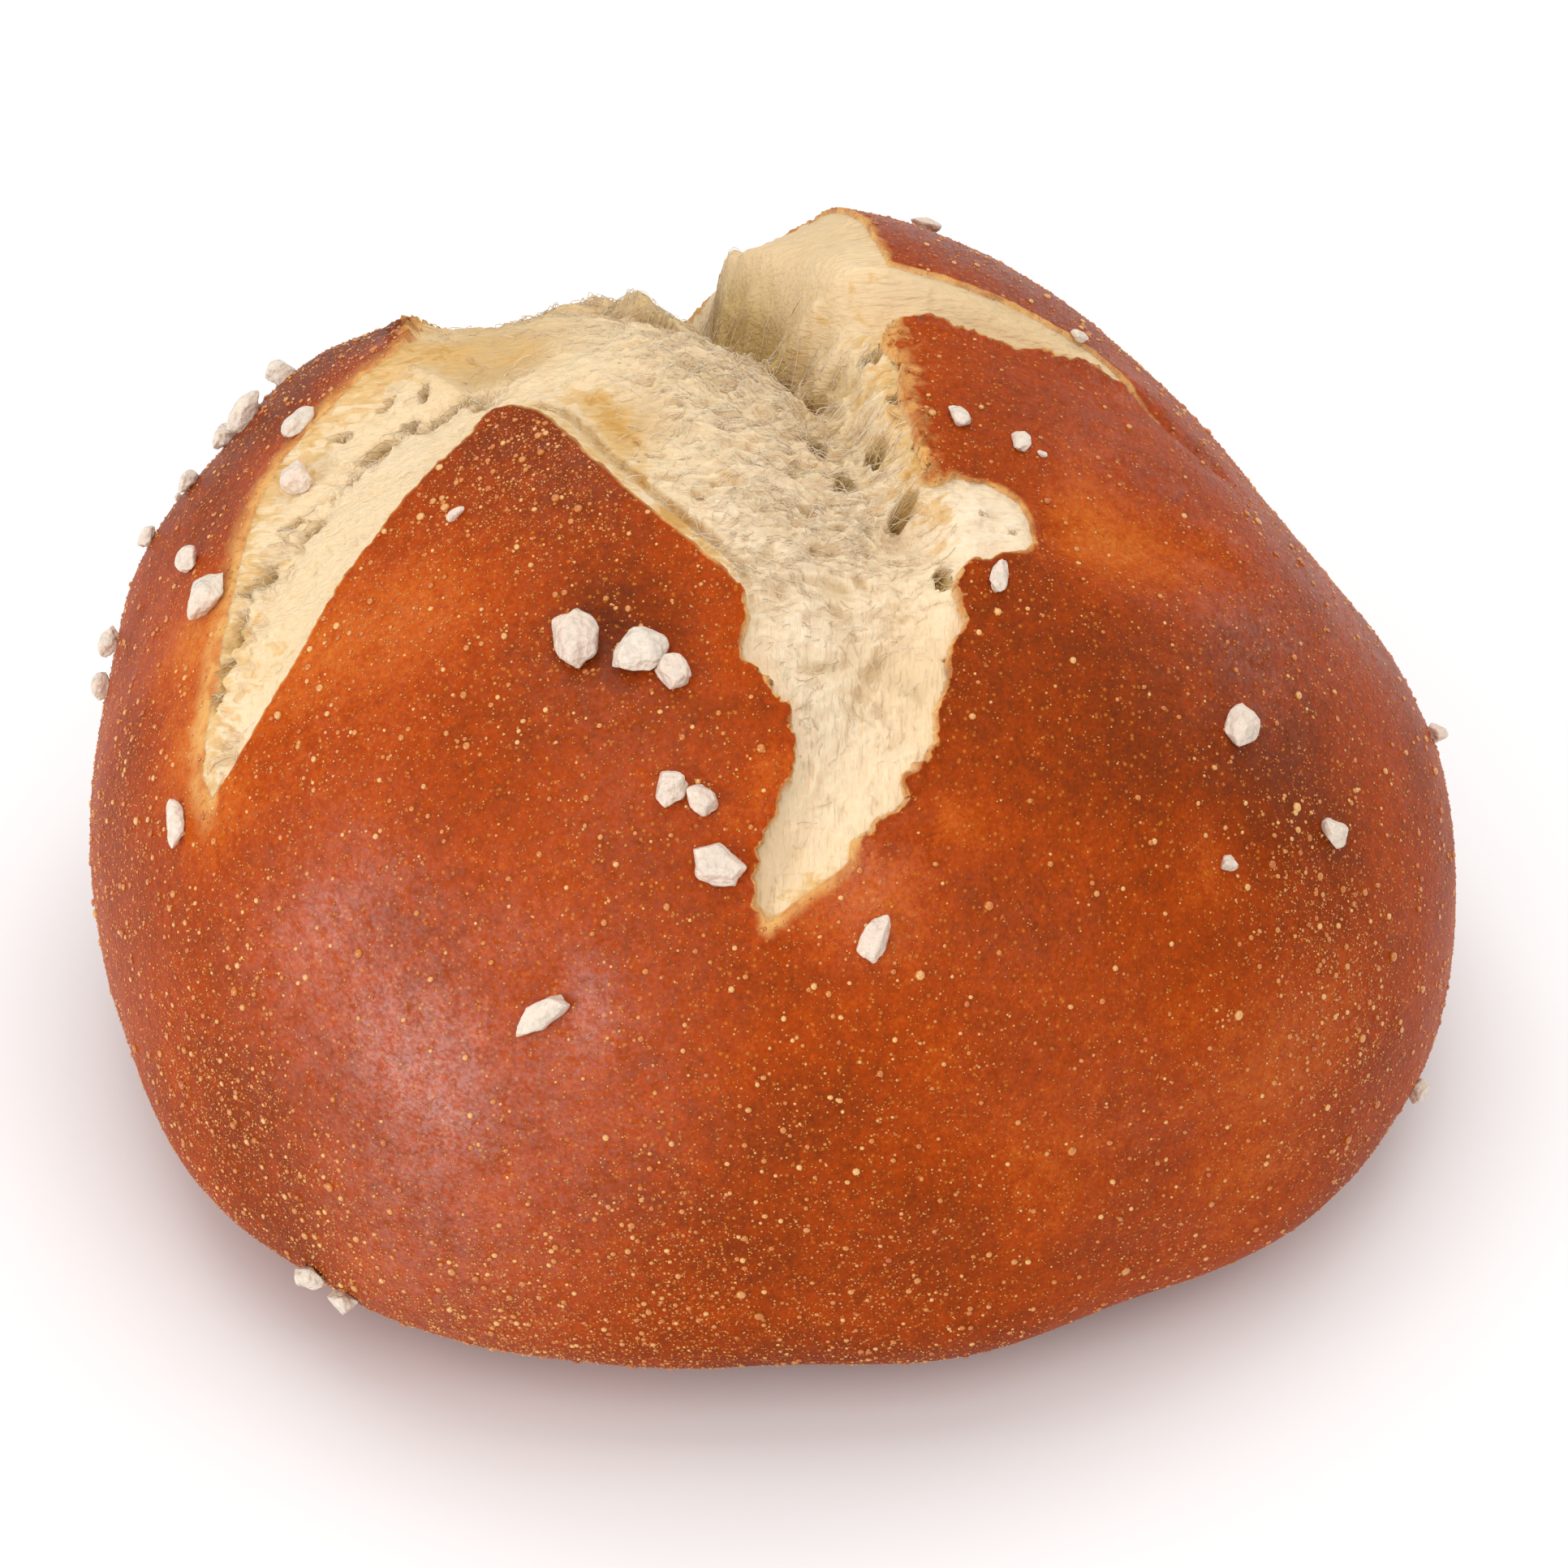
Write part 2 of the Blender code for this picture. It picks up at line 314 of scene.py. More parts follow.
LEFT_SLIT_OUTER = TornEdge(
    points=(
        (-44, -27.6), (-44.8, -24.6), (-44.4, -21), (-43.5, -17.7), (-42.7, -12.8), (-41.7, -7.1),
        (-40.4, -0.8), (-38.1, 4), (-34.6, 7.7), (-31.2, 10.2), (-28.6, 11.8),
    ),
    tear=0.2, band=2.6, step=0.15,
)
BACK_ARM_LEFT = TornEdge(
    points=((-28.2, 14.6), (-29.2, 21), (-30.5, 31), (-28, 43), (-19, 58)),
    tear=0.7, band=1.2, step=0.5, curl=0.3,
)
BACK_ARM_RIGHT = TornEdge(
    points=(
        (-10, 51), (-1, 44), (3, 34), (4.6, 26), (6.2, 19), (7.2, 14), (8, 10.5),
    ),
    tear=0.25, band=0.8, step=0.35,
)
RIGHT_SLIT_BACK = TornEdge(
    points=(
        (8.3, 8.9), (10.5, 9), (12.5, 9.1), (16.5, 9.4), (19, 9.4), (21.9, 9), (24.4, 8.2), (27.2, 6.4),
        (30.6, 3.9),
    ),
    tear=0.15, band=0.35, step=0.3,
)
RIGHT_SLIT_FRONT = TornEdge(
    points=(
        (27.2, 5.2), (24.3, 5.3), (23.2, 5.7), (21.4, 5), (20.4, 5.3), (18.3, 4.7), (16.1, 5.5),
        (14, 5.7), (12.9, 6.3), (10.8, 6.7), (9.7, 6.4),
    ),
    tear=0.25, band=0.16, step=0.9, curl=0.2,
)
RIGHT_FLAP_SIDE = TornEdge(
    points=(
        (9, 4.8), (8.9, 2.3), (9.5, 0.1), (9.2, -2.2), (9.8, -4.2), (9.4, -6.3), (10.5, -8),
        (10.8, -10.1), (11.2, -12.2), (12, -13.4),
    ),
    tear=0.7, band=1.9, step=0.5, curl=0.2,
)
SMALL_TEAR_BACK = TornEdge(
    points=(
        (14, -13.1), (15.5, -13), (17, -13.4), (18.1, -14.1), (18.9, -15.3), (19.3, -17.4),
        (18.4, -18.6),
    ),
    tear=0.2, band=0.5, step=0.25,
)
SMALL_TEAR_FRONT = TornEdge(
    points=((16.9, -19.2), (15.4, -20.3), (14.2, -20.5), (13.4, -21.5)),
    tear=0.3, band=0.16, step=0.9, curl=0.2,
)
FRONT_ARM_RIGHT = TornEdge(
    points=(
        (13.3, -22.7), (13.8, -24.6), (13.9, -25.8), (13.5, -27.1), (12.8, -28.5), (12.6, -30.9),
        (12, -32.1), (11.9, -34.4), (11.4, -35.6), (9.8, -37.4), (10.2, -38.7), (9.3, -39.6),
        (8.1, -40.4), (6.7, -41.4),
    ),
    tear=0.45, band=0.16, step=0.7, curl=0.25,
)
FRONT_ARM_TIP = TornEdge(
    points=((6.0, -42.0), (5.9, -43.3), (4.3, -44.5), (1.6, -46.2), (-0.2, -47.4)),
    tear=0.1, band=1.1, step=0.35, curl=0.15,
)
FRONT_ARM_LEFT = TornEdge(
    points=(
        (-1.3, -46), (-1.4, -44.3), (-0.8, -43), (-0.5, -41.2), (0.5, -40), (0.8, -38.8), (1.7, -37.5),
        (1.5, -35.8), (1.1, -34.7), (1.3, -33.5), (0.4, -32.4), (-0.2, -31), (-2, -29.6), (-2.2, -28.4),
        (-1.6, -27.1), (-2, -24.3),
    ),
    tear=0.45, band=0.16, step=1.0, curl=0.35,
)
FRONT_FLAP_CUT = TornEdge(
    points=(
        (-3.4, -22.6), (-6.3, -19.4), (-9.8, -15.4), (-13.3, -10.8), (-15.2, -7.7), (-16.7, -5.4),
        (-18.6, -4),
    ),
    tear=0.12, band=0.3, step=0.35, face=1.1,
)
LEFT_SLIT_INNER = TornEdge(
    points=(
        (-20.1, -4), (-20.9, -4.8), (-21.5, -6.2), (-23, -7.7), (-24.8, -9.1), (-28.4, -13),
        (-31.6, -16.2), (-34.3, -19.8), (-37.3, -23.2), (-40.1, -25.5), (-42.8, -27.2),
    ),
    tear=0.15, band=0.2, step=0.55, curl=0.15,
)
TORN_EDGES = (
    LEFT_SLIT_OUTER,
    BACK_ARM_LEFT,
    BACK_ARM_RIGHT,
    RIGHT_SLIT_BACK,
    RIGHT_SLIT_FRONT,
    RIGHT_FLAP_SIDE,
    SMALL_TEAR_BACK,
    SMALL_TEAR_FRONT,
    FRONT_ARM_RIGHT,
    FRONT_ARM_TIP,
    FRONT_ARM_LEFT,
    FRONT_FLAP_CUT,
    LEFT_SLIT_INNER,
)

MIDDLE_VALLEY = Valley(
    line=(
        (-13, 60, 2.5, 3.6), (-9, 50, 5.6, 3.6), (-7.6, 42, 7, 3.6), (-7.3, 34, 7.8, 3.8),
        (-7.1, 27, 8, 4.2), (-6.2, 21.5, 7.6, 4.8), (-4, 16.6, 6.8, 5.2), (-1, 11.6, 5.8, 5.4),
        (0.9, 7.8, 5.2, 5.4), (2.8, 3.6, 4.8, 5.2), (4.4, -1.4, 4.6, 4.8), (6.2, -6.4, 4.8, 4.2),
        (7.6, -10.2, 4.8, 3.8), (9.8, -15.6, 4.2, 3.6), (12, -20.6, 3.2, 3.4), (8.8, -26.5, 2, 3.4),
        (7, -31, 0.8, 3.4), (3, -41, 0.2, 3.4),
    ),
    right_width=5.0,
    left_wall=Wall.CUT,
)
LEFT_VALLEY = Valley(
    line=(
        (-43.6, -26, 0.3, 1.2), (-43.7, -21, 0.7, 1.2), (-43, -17.4, 0.9, 1.3), (-42.2, -14.3, 1, 1.4),
        (-41.2, -11.2, 1.1, 1.6), (-39.8, -8.4, 1.2, 2), (-37.4, -5.4, 1.3, 2.4),
        (-34.6, -3.2, 1.3, 2.6), (-32, -0.6, 1.3, 2.6), (-29.4, 1.4, 1.4, 2.4), (-26, 2, 1.5, 2),
        (-22.6, 2, 1, 1.6), (-20, 3.2, 0.3, 1.2),
    ),
    right_width=1.7,
)
FRONT_FOLD = Valley(
    line=(
        (14, -20.6, 0.6, 1.4), (12.6, -23, 1.5, 1.4), (10, -26, 1.5, 1.4), (7.6, -29.4, 1.1, 1.4),
        (6, -33, 0.3, 1.4),
    ),
    right_width=0.7,
)
LEFT_LIP = Valley(
    line=(
        (-29.8, 12.4, -0.3, 0.45), (-27.8, 9.2, -1.1, 0.45), (-25.6, 6, -1.4, 0.45),
        (-24, 3.4, -1.3, 0.45), (-22.8, 1, -0.6, 0.45),
    ),
    right_width=2.2,
)


@dataclass(frozen=True)
class Opening:
    """The opening that the crossed cut tore in the crust.

    Attributes:
        edges: The stretches of its outline, in order round it.
        tear_size: Size of the largest teeth on its ragged edges.
        teeth: The teeth's sizes, each (how often finer than the largest, reach, seed).
        sink: How deep the crumb lies away from the valleys.
        shoulder: Distance over which the crumb falls from the crust's edge.
        valleys: Its valleys.
        mounds: Mounds of the crumb, each (right, back, spread, rise).
    """

    edges: tuple[TornEdge, ...] = TORN_EDGES
    tear_size: float = 2.6
    teeth: tuple[tuple[float, float, int], ...] = ((1.0, 1.0, 31), (2.6, 0.7, 32), (7.0, 0.5, 33))
    sink: float = 2.3
    shoulder: float = 3.0
    valleys: tuple[Valley, ...] = (MIDDLE_VALLEY, LEFT_VALLEY, FRONT_FOLD, LEFT_LIP)
    mounds: Rows = (
        (-12, 2, 8, 1.3), (-4, -16, 6, 1.4), (-18.5, 31, 3.6, 1.1), (-24, 29, 4, -0.5),
        (-13, 31, 3, -0.6), (-9, 20, 3.5, -1.6), (-0.5, 16, 5.5, -2), (-3.5, 27, 5, -1.6),
        (6.5, 12, 4, 0.9), (12.5, -25.5, 3.2, 1.5), (16, -17, 3.5, 1.7), (11.5, -12, 1.6, 0.9),
        (1.5, -31, 4, 0.7), (16, 8, 6, 0.5), (-33, -4, 8, 0.8), (-41, -14, 4, 0.4), (-22, 8, 3, -0.8),
    )

    def outline(self) -> Array:
        """Rows (right, back, tear, band, step, curl, face) round the outline, closed."""
        rows = [row for edge in self.edges for row in edge.rows()]
        return np.array([*rows, rows[0]])

    def look_up(self, places: Array) -> tuple[Array, Array]:
        """Measure how far places lie inside the opening.

        Args:
            places: Places on the crust.

        Returns:
            The distance inside the ragged outline, negative on the crust, and the rows
            (tear, band, step, curl, face) of the outline nearest to each place.
        """
        outline = self.outline()
        away, position = line_distance(places, outline)
        inside = np.zeros(len(places), bool)
        for (x0, y0), (x1, y1) in zip(outline[:-1, :2], outline[1:, :2]):
            if y0 == y1:
                continue
            between = (places[:, 1] > y0) != (places[:, 1] > y1)
            inside ^= between & (places[:, 0] < x0 + (places[:, 1] - y0) * (x1 - x0) / (y1 - y0))
        index = np.arange(len(outline))
        finish = np.column_stack([np.interp(position, index, row) for row in outline.T[2:]])
        teeth = sum(
            noise(places, self.tear_size / finer, seed) * reach for finer, reach, seed in self.teeth
        )
        teeth *= finish[:, 0] * (0.9 + 0.8 * noise(places, self.tear_size * 2, 34))
        return np.where(inside, np.abs(away), -np.abs(away)) + teeth, finish

    def crumb_depth(self, places: Array, inside: Array, step: Array) -> Array:
        """Work out how far the torn crumb lies below the crust, before its fine relief.

        Args:
            places: Places on the crust.
            inside: Their distances inside the outline.
            step: Height of the crust above the crumb at the nearest edge.

        Returns:
            The depth at each place.
        """
        depth = self.sink - bumps(places, self.mounds)
        for valley in self.valleys:
            depth = depth + valley.depth(places)
        fall = 1.0 - np.exp(-np.maximum(inside, 0.0) / self.shoulder)
        tucked = np.maximum(-inside, 0.0) * 0.5
        return step + (depth - step) * fall + tucked


@dataclass(frozen=True)
class RollForm:
    """The roll's own form, a flat-footed bun with swells, dents and lifted flaps.

    Attributes:
        width: Width of the belt.
        depth: Depth of the belt.
        belt: Height of the belt above the base.
        dome: Height of the dome above the belt.
        foot: How far the underside would bulge below the belt, were the base not flat.
        run: Distance over the crust for each radian of tilt.
        squareness: Roundness of the plan, the dome and the foot: 2 is an ellipse.
        middle: Middle of the belt, (right, back).
        swells: Swells and dents of the crust, each (right, back, spread, rise).
        cut_middle: Where the arms of the cut meet.
        flaps: Flaps between the arms, each (first heading, last heading, lift).
        flap_reach: How far from the cut a flap's lift dies away.
        flap_root: How far from the cut's middle the lift begins.
        flap_turn: Degrees over which one flap gives way to the next.
        lumps: Unevenness of the crust, each (size, rise, seed).
        folds: Soft folds of the crust, each a line of places, a width and a rise.
    """

    width: float = 100.0
    depth: float = 96.6
    belt: float = 14.0
    dome: float = 44.5
    foot: float = 16.5
    run: float = 47.5
    squareness: tuple[float, float, float] = (2.17, 2.1, 3.0)
    middle: tuple[float, float] = (0.08, -0.25)
    swells: Rows = (
        (46, 27, 24, -4.7), (46, 9, 13, -1.4), (-55, 13, 9, 1.4), (-29, 21, 5, -0.9), (-17, 34, 17, -2),
        (-76, -28, 18, -1.4), (46, -72, 17, -1.7), (4, -88, 18, -1.1), (27, -15, 7, -1.2),
        (-12, -26, 5, -0.7), (-17, -51, 3.5, -0.7), (32, -46, 4, -0.6), (-30, -58, 14, 0.8),
        (20, -66, 6, -0.5), (-48, -34, 10, 0.5), (12, -58, 11, 0.6), (35, -35, 3, -0.5),
        (-11.5, -27, 2.6, -0.5), (21, -15.5, 1.6, -0.5), (3.5, -52, 4, -0.5), (-8, 52, 7, -2.6),
        (-37, 21, 8, 1.4), (-33, -62, 12, 0.8), (-25, -46, 12, -0.7),
    )
    cut_middle: tuple[float, float] = (-6.0, 10.0)
    flaps: Rows = ((224, 276, 0.4), (276, 351, -0.2), (351, 475, 3.9), (115, 224, 0.2))
    flap_reach: float = 26.0
    flap_root: float = 12.0
    flap_turn: float = 9.0
    lumps: tuple[tuple[float, float, int], ...] = ((15.0, 0.35, 3), (6.0, 0.13, 4), (2.6, 0.035, 5))
    folds: tuple[tuple[Rows, float, float], ...] = (
        (((4.0, -62.0), (18.0, -60.0), (32.0, -58.5), (46.0, -54.0)), 2.2, -0.55),
        (((6.0, -67.0), (20.0, -65.5), (34.0, -63.0), (47.0, -58.0)), 2.6, 0.45),
        (((19.0, -17.5), (25.0, -15.5), (31.0, -13.0), (39.0, -12.0)), 1.8, -0.55),
        (((20.0, -21.0), (27.0, -19.5), (35.0, -17.0)), 2.6, 0.45),
        (((8.0, -42.5), (11.0, -41.6), (14.5, -42.0)), 0.8, -0.5),
        (((9.5, -40.5), (13.0, -39.8), (16.5, -39.0)), 0.9, 0.4),
        (((27.0, 6.0), (31.5, 3.2), (37.5, 1.0)), 0.7, -0.5),
        (((31.0, -36.5), (36.0, -34.5), (41.0, -34.0)), 1.6, -0.5),
    )

    def directions(self, places: Array) -> Array:
        """Unit directions from the belt's middle to places on the crust."""
        tilt = np.hypot(places[:, 0], places[:, 1]) / self.run
        heading = np.arctan2(places[:, 1], places[:, 0])
        level = np.sin(tilt)
        return np.column_stack([level * np.cos(heading), level * np.sin(heading), np.cos(tilt)])

    def places(self, directions: Array) -> Array:
        """Places on the crust that unit directions point at."""
        walk = self.run * np.arccos(np.clip(directions[:, 2], -1.0, 1.0))
        heading = np.arctan2(directions[:, 1], directions[:, 0])
        return np.column_stack([walk * np.cos(heading), walk * np.sin(heading)])

    def bun_radius(self, directions: Array) -> Array:
        """Distance from the belt's middle to the plain bun."""
        x, y, z = np.abs(directions).T
        plan, dome, foot = self.squareness
        level = ((x / (self.width / 2)) ** plan + (y / (self.depth / 2)) ** plan) ** (1 / plan)
        above = directions[:, 2] >= 0
        power = np.where(above, dome, foot)
        height = np.where(above, self.dome, self.foot)
        return (level**power + (z / height) ** power) ** (-1 / power)

    def flap_lift(self, places: Array) -> Array:
        """How far the flaps between the cut's arms stand above the plain bun."""
        across = places - np.array(self.cut_middle)
        away = np.hypot(across[:, 0], across[:, 1])
        heading = np.degrees(np.arctan2(across[:, 1], across[:, 0]))
        lift = np.zeros(len(places))
        for first, last, height in self.flaps:
            half = (last - first) / 2
            off = np.abs((heading - first - half + 180.0) % 360.0 - 180.0)
            lift += height * smooth_step((half - off) / self.flap_turn + 0.5)
        return lift * smooth_step(away / self.flap_root) * np.exp(-((away / self.flap_reach) ** 2))

    def fold_rise(self, places: Array) -> Array:
        """How far the soft folds raise the crust."""
        total = np.zeros(len(places))
        for line, width, rise in self.folds:
            away, position = line_distance(places, np.array(line))
            ends = np.minimum(position, len(line) - 1 - position)
            total += rise * np.exp(-((away / width) ** 2)) * smooth_step(ends * 1.5 + 0.2)
        return total

    def radius(self, places: Array) -> Array:
        """Distance from the belt's middle to the unbroken crust."""
        directions = self.directions(places)
        ball = directions * self.width / 2
        lumps = sum(noise(ball, size, seed) * rise for size, rise, seed in self.lumps)
        swells = bumps(places, self.swells) + self.fold_rise(places)
        return self.bun_radius(directions) + swells + self.flap_lift(places) + lumps

    def points(self, places: Array, radius: Array) -> Array:
        """Points at a distance from the belt's middle, in millimetres in the roll's frame."""
        middle = np.array([*self.middle, self.belt])
        return self.directions(places) * radius[:, None] + middle

    def places_of(self, points: Array) -> Array:
        """Places on the crust that points lie under or on."""
        offset = points - np.array([*self.middle, self.belt])
        return self.places(offset / np.linalg.norm(offset, axis=1)[:, None])


@dataclass(frozen=True)
class Roll:
    """The torn roll: its form and its opening together.

    Attributes:
        form: The bun's form.
        opening: The opening in its crust.
        holes: Holes in the crumb, each (right, back, long radius, short radius, heading,
            depth).
        roughened: Where it tore roughly or smoothly, each (right, back, spread, amount).
        flakes: Length, width and height of the flakes drawn out across the tear.
        strands: Length, width and height of the finer strands on them.
        clod_size: Size of the clods between.
        groove: Depth of the groove where the smooth cut face ends.
        lip: Distance over which the crust's lip dies away.
        crust_floor: How far the crust's floor lies under the crumb.
    """

    form: RollForm = RollForm()
    opening: Opening = Opening()
    holes: Rows = (
        (-21.9, 0.3, 1.1, 0.5, -30, 1.5), (-23.6, 1.9, 1.5, 0.7, 0, 1.8), (-26.6, 1.5, 1.9, 1, 10, 2.4),
        (-28.8, 2.9, 0.8, 0.5, 50, 0.7), (-31.2, 1, 1.5, 1.1, 35, 2.2),
        (-33.3, -2.4, 0.8, 0.5, 40, 0.9), (-38, -4, 0.7, 0.5, 30, 0.7),
        (-36.6, -5.6, 1.6, 0.6, 40, 1.8), (-40.6, -8.9, 1.8, 0.6, 55, 1.1),
        (-42, -13.4, 2.2, 0.4, 70, 0.8), (-43.2, -17.8, 2.6, 0.55, 80, 1.3),
        (-34.2, 4.4, 0.9, 0.5, -20, 0.8), (-27.2, 5.6, 0.9, 0.4, 60, 0.9),
        (-30.2, 6.4, 1, 0.4, 50, 0.6), (-2.6, 14.4, 2.4, 1.1, 120, 1.8), (1, 7.4, 1.2, 0.8, 115, 1.5),
        (3.6, 3, 2.1, 0.9, 112, 1.8), (3.6, -5.4, 1.2, 0.8, 118, 1.4), (6, -10.6, 1.4, 1, 118, 1.8),
        (7.6, 2.4, 1, 0.7, 118, 1.2), (8.4, -8.2, 1, 0.6, 110, 1.2), (9.6, -4.6, 1.2, 0.7, 110, 1.1),
        (10.2, -14.6, 1, 0.7, 100, 1.2), (13, -21.6, 1.2, 0.6, 100, 1.2),
        (15.4, -15.8, 0.3, 0.2, 0, 0.12), (17.6, -16.9, 0.3, 0.2, 0, 0.12),
    )
    roughened: Rows = (
        (1, -2, 10, 0.9), (-4, 10, 9, 0.7), (6, -18, 7, 0.6), (-3, -20, 8, 0.4), (4, -32, 7, 0.4),
        (-9, 30, 12, 0.8), (-14, 44, 10, 0.7), (5, 14, 4.5, -0.9), (8, 4, 2.5, -0.4), (16, 7, 4, -0.2),
    )
    flakes: tuple[float, float, float] = (5.0, 1.7, 0.85)
    strands: tuple[float, float, float] = (4.0, 0.7, 0.30)
    clod_size: float = 3.2
    groove: float = 0.8
    lip: float = 1.1
    crust_floor: float = 3.4

    def torn(self, places: Array) -> Array:
        """How roughly the crumb tore, from 0 where it is a smooth cut face to 1."""
        rough = bumps(places, self.roughened)
        along_left = np.exp(-((line_distance(places, np.array(LEFT_VALLEY.line))[0] / 1.5) ** 2))
        from_middle, _ = line_distance(places, np.array(MIDDLE_VALLEY.line))
        plateau = smooth_step((-from_middle - 3.0) / 2.0) * smooth_step((places[:, 1] + 4.0) / 6.0)
        plateau *= 1.0 - 0.6 * smooth_step((places[:, 1] - 22.0) / 6.0)
        rough = np.clip(0.25 + rough + 0.55 * along_left, 0.12, 1.0)
        return rough * (1.0 - 0.85 * plateau)

    def cut_wall(self, places: Array) -> Array:
        """1 on and past the cut wall that climbs from the middle valley, else 0."""
        from_middle, _ = line_distance(places, np.array(MIDDLE_VALLEY.line))
        return smooth_step(-from_middle / 1.5) * smooth_step((places[:, 1] + 6.0) / 6.0)

    def arms(self, places: Array) -> tuple[Array, Array]:
        """How far each place lies in the front arm, and how far in the left slit."""
        front = smooth_step((-places[:, 1] - 24.0) / 8.0)
        return front, smooth_step((-places[:, 0] - 18.0) / 6.0)

    def relief(self, places: Array, inside: Array, face: Array) -> tuple[Array, Array]:
        """Work out the fine relief of the torn crumb.

        Args:
            places: Places on the crust.
            inside: Their distances inside the outline.
            face: Width of the smooth cut face at the nearest edge.

        Returns:
            How far fibres, flakes and pores stand above the mean surface, and how deep each
            place lies in a hole.
        """
        past_face = smooth_step((inside - face) / 0.5)
        rough = self.torn(places) * past_face
        warp = np.column_stack([noise(places, 5.0, 61), noise(places, 5.0, 62)]) * 1.7
        warped = places + warp
        wall = self.cut_wall(places)
        depth = self.opening.crumb_depth(places, inside, face * 0.0)
        inner = self.form.directions(places) * (self.form.width / 2 - depth)[:, None]
        front, left = self.arms(places)
        headings = ((8.0, (1.0 - front) * (1.0 - left)), (70.0, front * (1.0 - left)), (118.0, left))
        fibres = np.zeros(len(places))
        for heading, share in headings:
            axes = turned(warped, heading)
            flakes = ridged(axes, self.flakes[:2], 3, 71) * self.flakes[2]
            strands = ridged(axes, self.strands[:2], 2, 81) * self.strands[2]
            fibres += share * (flakes + strands)
        fibres *= 1.0 - 0.9 * wall
        clods = fractal(inner, self.clod_size, 4, 91) * (1.0 + 0.8 * wall)
        pits = pores(warped, 2.1, 0.45, 95) * 0.9 + pores(warped, 0.9, 0.5, 98) * 0.4
        smooth = fractal(places, 2.4, 3, 99) * 0.14 - pores(places, 1.3, 0.3, 97) * 0.25
        total = rough * (fibres + clods - pits - 0.45) + (1.0 - rough) * smooth
        total -= np.minimum(face, 1.0) * self.groove * np.exp(-(((inside - face - 0.3) / 0.35) ** 2))
        edge_warp = np.column_stack([noise(places, 0.9, 63), noise(places, 0.9, 64)]) * 0.28
        sunk = rough * pits * 0.6
        for right, back, long, short, heading, deepest in self.holes:
            axes = turned(places - (right, back) + warp * 0.25 + edge_warp, heading)
            away = np.hypot(axes[:, 0] / long, axes[:, 1] / short)
            hole = deepest * (1.0 - smooth_step((away - 0.6) / 0.45))
            total -= hole * 1.5
            sunk += hole
        return total, sunk

    def crumb_radius(self, places: Array) -> Array:
        """Distance from the belt's middle to the torn crumb."""
        inside, finish = self.opening.look_up(places)
        depth = self.opening.crumb_depth(places, inside, finish[:, 2])
        relief, _ = self.relief(places, inside, finish[:, 4])
        shown = smooth_step((inside + 0.1) / 0.9)
        return self.form.radius(places) - depth + relief * shown

    def crust_radius(self, places: Array) -> Array:
        """Distance from the belt's middle to the crust, whose floor lies under the crumb."""
        inside, finish = self.opening.look_up(places)
        lip = finish[:, 3] * np.exp(-np.abs(inside) / self.lip)
        bare = self.opening.crumb_depth(places, inside, finish[:, 2])
        wall = smooth_step((inside - 0.02) / 0.45) * (bare + self.crust_floor)
        reach = 0.3 + finish[:, 0] * 1.6
        crumbly = noise(places, 0.7, 35) * finish[:, 0] * 0.7 * np.exp(-((inside / reach) ** 2))
        return self.form.radius(places) + lip + crumbly - wall

    def surface(self, places: Array) -> Array:
        """Points of whichever of crust and crumb shows at places."""
        inside, _ = self.opening.look_up(places)
        crust, crumb = self.crust_radius(places), self.crumb_radius(places)
        return self.form.points(places, np.where(inside > 0, crumb, crust))

    def frames(self, places: Array, step: float = 0.8) -> tuple[Array, Array]:
        """Find where and how a small thing sits on the surface.

        Args:
            places: Places on the crust.
            step: How far apart the surface is probed for its slope.

        Returns:
            The points, and for each a matrix whose columns run right, back and outwards.
        """
        right = self.surface(places + (step, 0.0)) - self.surface(places - (step, 0.0))
        back = self.surface(places + (0.0, step)) - self.surface(places - (0.0, step))
        outwards = np.cross(right, back)
        outwards /= np.linalg.norm(outwards, axis=1)[:, None]
        right /= np.linalg.norm(right, axis=1)[:, None]
        back = np.cross(outwards, right)
        return self.surface(places), np.stack([right, back, outwards], axis=2)


# ---------------------------------------------------------------------------
# Meshes
# ---------------------------------------------------------------------------


def vertex_points(mesh: bmesh.types.BMesh) -> Array:
    """Coordinates of a mesh's vertices."""
    return np.array([vertex.co[:] for vertex in mesh.verts])


def ball_places(mesh: bmesh.types.BMesh, form: RollForm) -> Array:
    """Places that the vertices of a ball lie over."""
    points = vertex_points(mesh)
    return form.places(points / np.linalg.norm(points, axis=1)[:, None])


def move_vertices(mesh: bmesh.types.BMesh, points: Array) -> None:
    """Put each vertex at its point."""
    for vertex, point in zip(mesh.verts, points):
        vertex.co = point


def cut_finer(mesh: bmesh.types.BMesh, near: Array, cuts: int) -> None:
    """Divide the edges at the marked vertices and make triangles of the result.

    Args:
        mesh: The mesh to divide.
        near: Which vertices are marked.
        cuts: How many times each edge is cut.
    """
    mesh.verts.index_update()
    edges = [edge for edge in mesh.edges if all(near[v.index] for v in edge.verts)]
    bmesh.ops.subdivide_edges(mesh, edges=edges, cuts=cuts, use_grid_fill=True)
    bmesh.ops.triangulate(mesh, faces=mesh.faces)


